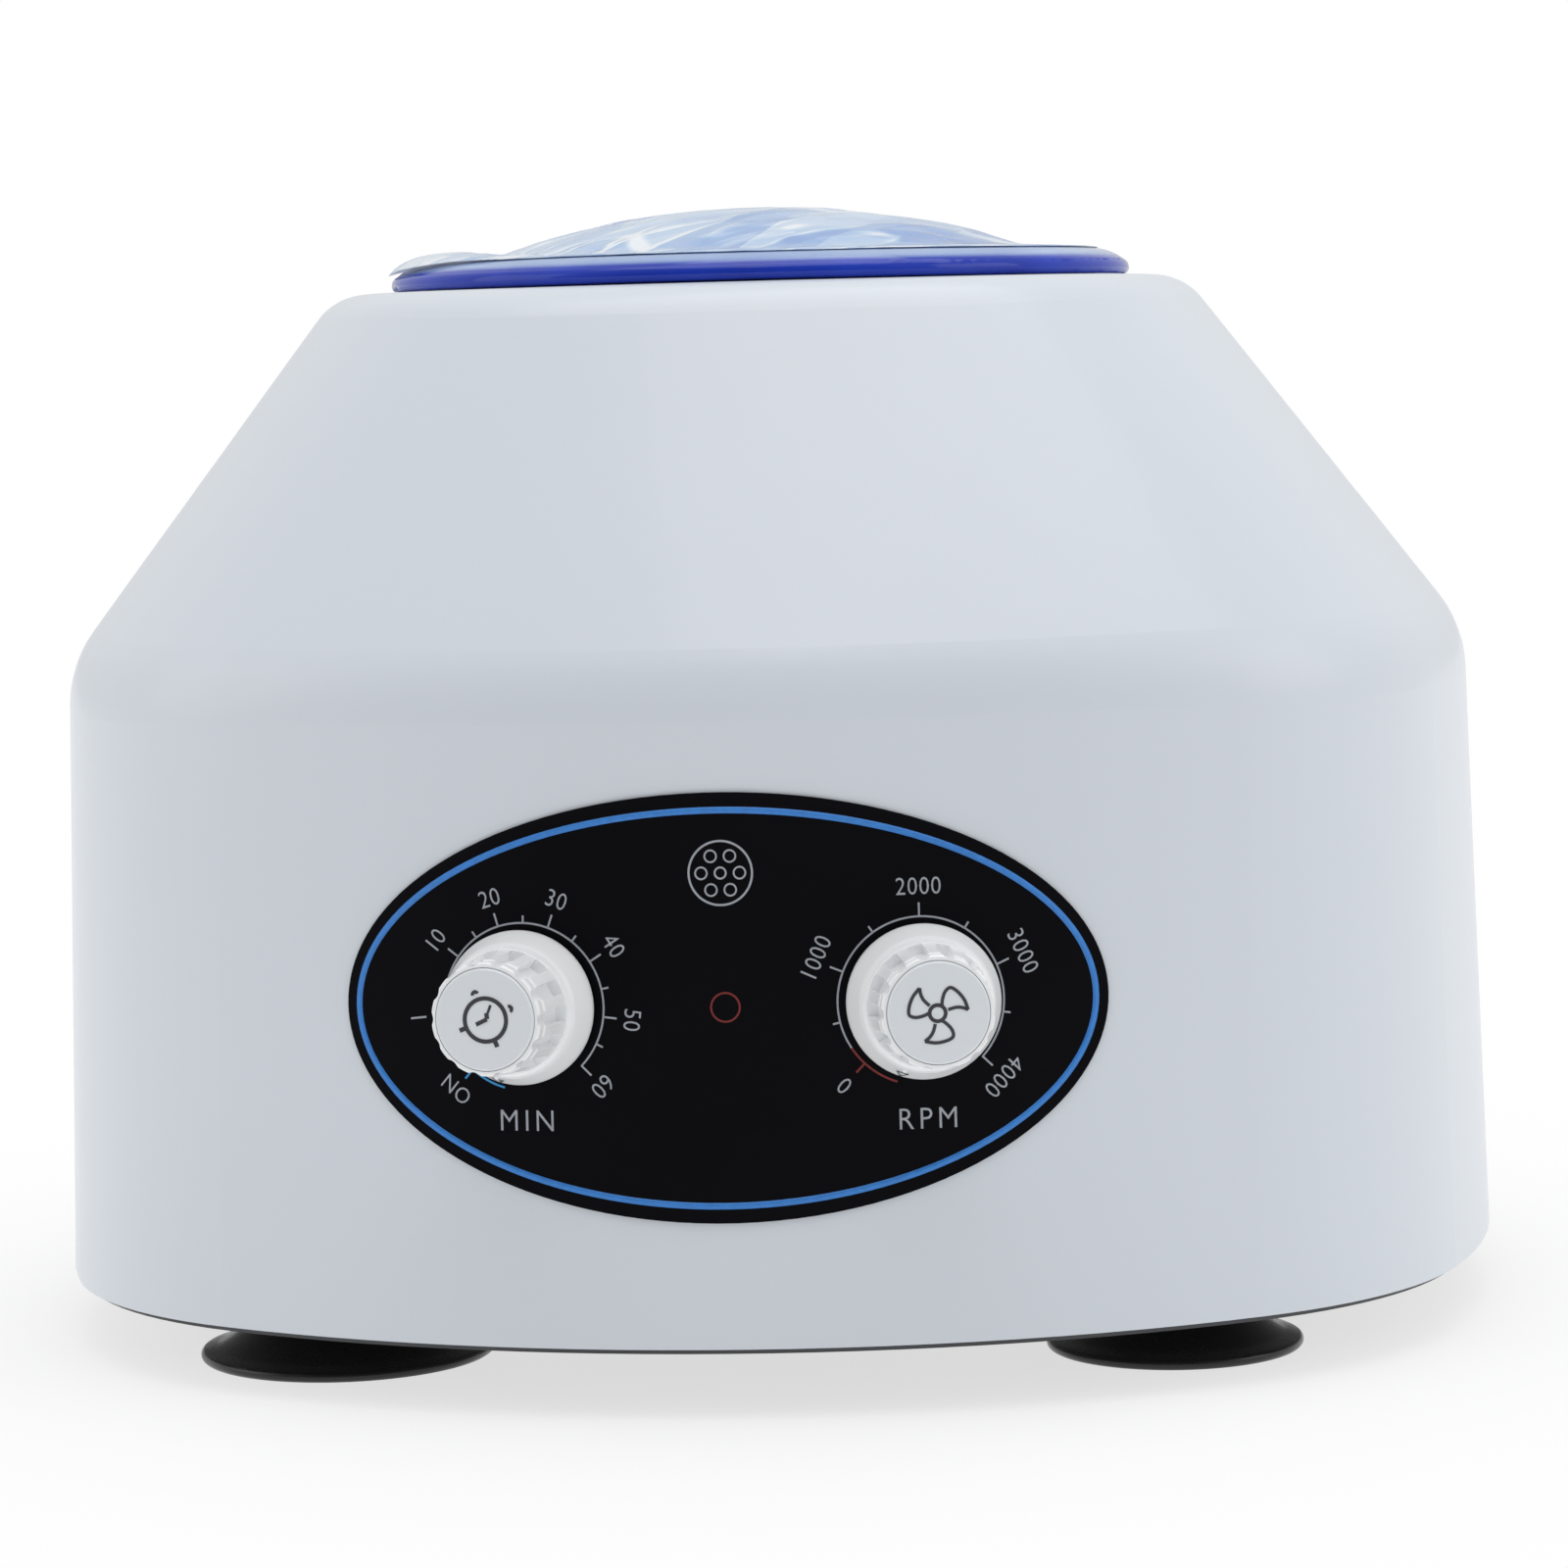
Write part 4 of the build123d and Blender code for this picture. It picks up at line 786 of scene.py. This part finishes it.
# a white tent that is dimmer in front of the object, where the camera stands
wt = wn.nodes.new("ShaderNodeTexCoord")
ws = wn.nodes.new("ShaderNodeSeparateXYZ")
wn.links.new(wt.outputs["Generated"], ws.inputs[0])
tent = wn.nodes.new("ShaderNodeMapRange")
tent.interpolation_type = "SMOOTHSTEP"
tent.inputs["From Min"].default_value = -0.95
tent.inputs["From Max"].default_value = -0.25
tent.inputs["To Min"].default_value = 0.17
tent.inputs["To Max"].default_value = 0.71
wn.links.new(ws.outputs[1], tent.inputs["Value"])
st = wn.nodes.new("ShaderNodeMix")
st.data_type = "FLOAT"
st.inputs[3].default_value = 1.0
wn.links.new(lp.outputs["Is Camera Ray"], st.inputs[0])
wn.links.new(tent.outputs["Result"], st.inputs[2])
wn.links.new(st.outputs[0], bg.inputs["Strength"])


def area(name, loc, target, size, power, colour=(1, 1, 1), size_y=None):
    li = bpy.data.lights.new(name, "AREA")
    li.energy = power
    li.color = colour
    li.size = size
    if size_y:
        li.shape = "RECTANGLE"
        li.size_y = size_y
    ob = bpy.data.objects.new(name, li)
    ob.location = loc
    ob.rotation_euler = (Vector(target) - Vector(loc)).to_track_quat("-Z", "Y").to_euler()
    scene.collection.objects.link(ob)
    return ob


area("softbox_top", (0.10, -0.12, 1.3), (0, 0, 0.1), 1.2, 6.6)
area("softbox_right", (1.3, -0.35, 0.7), (0, 0, 0.1), 0.8, 1.9)
area("softbox_left", (-1.3, -0.3, 0.6), (0, 0, 0.1), 0.8, 1.3)

cam_data = bpy.data.cameras.new("camera")
cam = bpy.data.objects.new("camera", cam_data)
scene.collection.objects.link(cam)
yaw, pitch, roll = math.radians(-4.55), math.radians(5.23), math.radians(-1.51)
c, s = math.cos(yaw), math.sin(yaw)
X0, Y0, ZC = 1.85, 878.0, 160.05 + Z_BOT
pos = Vector((X0 * c + (-Y0) * s, -X0 * s + (-Y0) * c, ZC))


def turn(vx, vy, vz):
    """From the camera's level frame to the row frame."""
    return Vector((vx * c + vy * s, -vx * s + vy * c, vz))


right = turn(1, 0, 0)
fwd = turn(0, math.cos(pitch), -math.sin(pitch))
up = turn(0, math.sin(pitch), math.cos(pitch))
cr, sr = math.cos(roll), math.sin(roll)
ax = right * cr + up * sr
ay = up * cr - right * sr
az = -fwd
rot = Matrix((ax, ay, az)).transposed().to_4x4()
cam.matrix_world = Matrix.Translation((pos + Vector((0, DY, 0))) * MM) @ rot
cam_data.sensor_width = 36.0
cam_data.lens = 4934.2 / 1600 * 36.0
cam_data.clip_start = 0.01
cam_data.clip_end = 50
scene.camera = cam
scene.view_settings.view_transform = "Standard"
scene.view_settings.look = "None"
scene.view_settings.exposure = 0.0
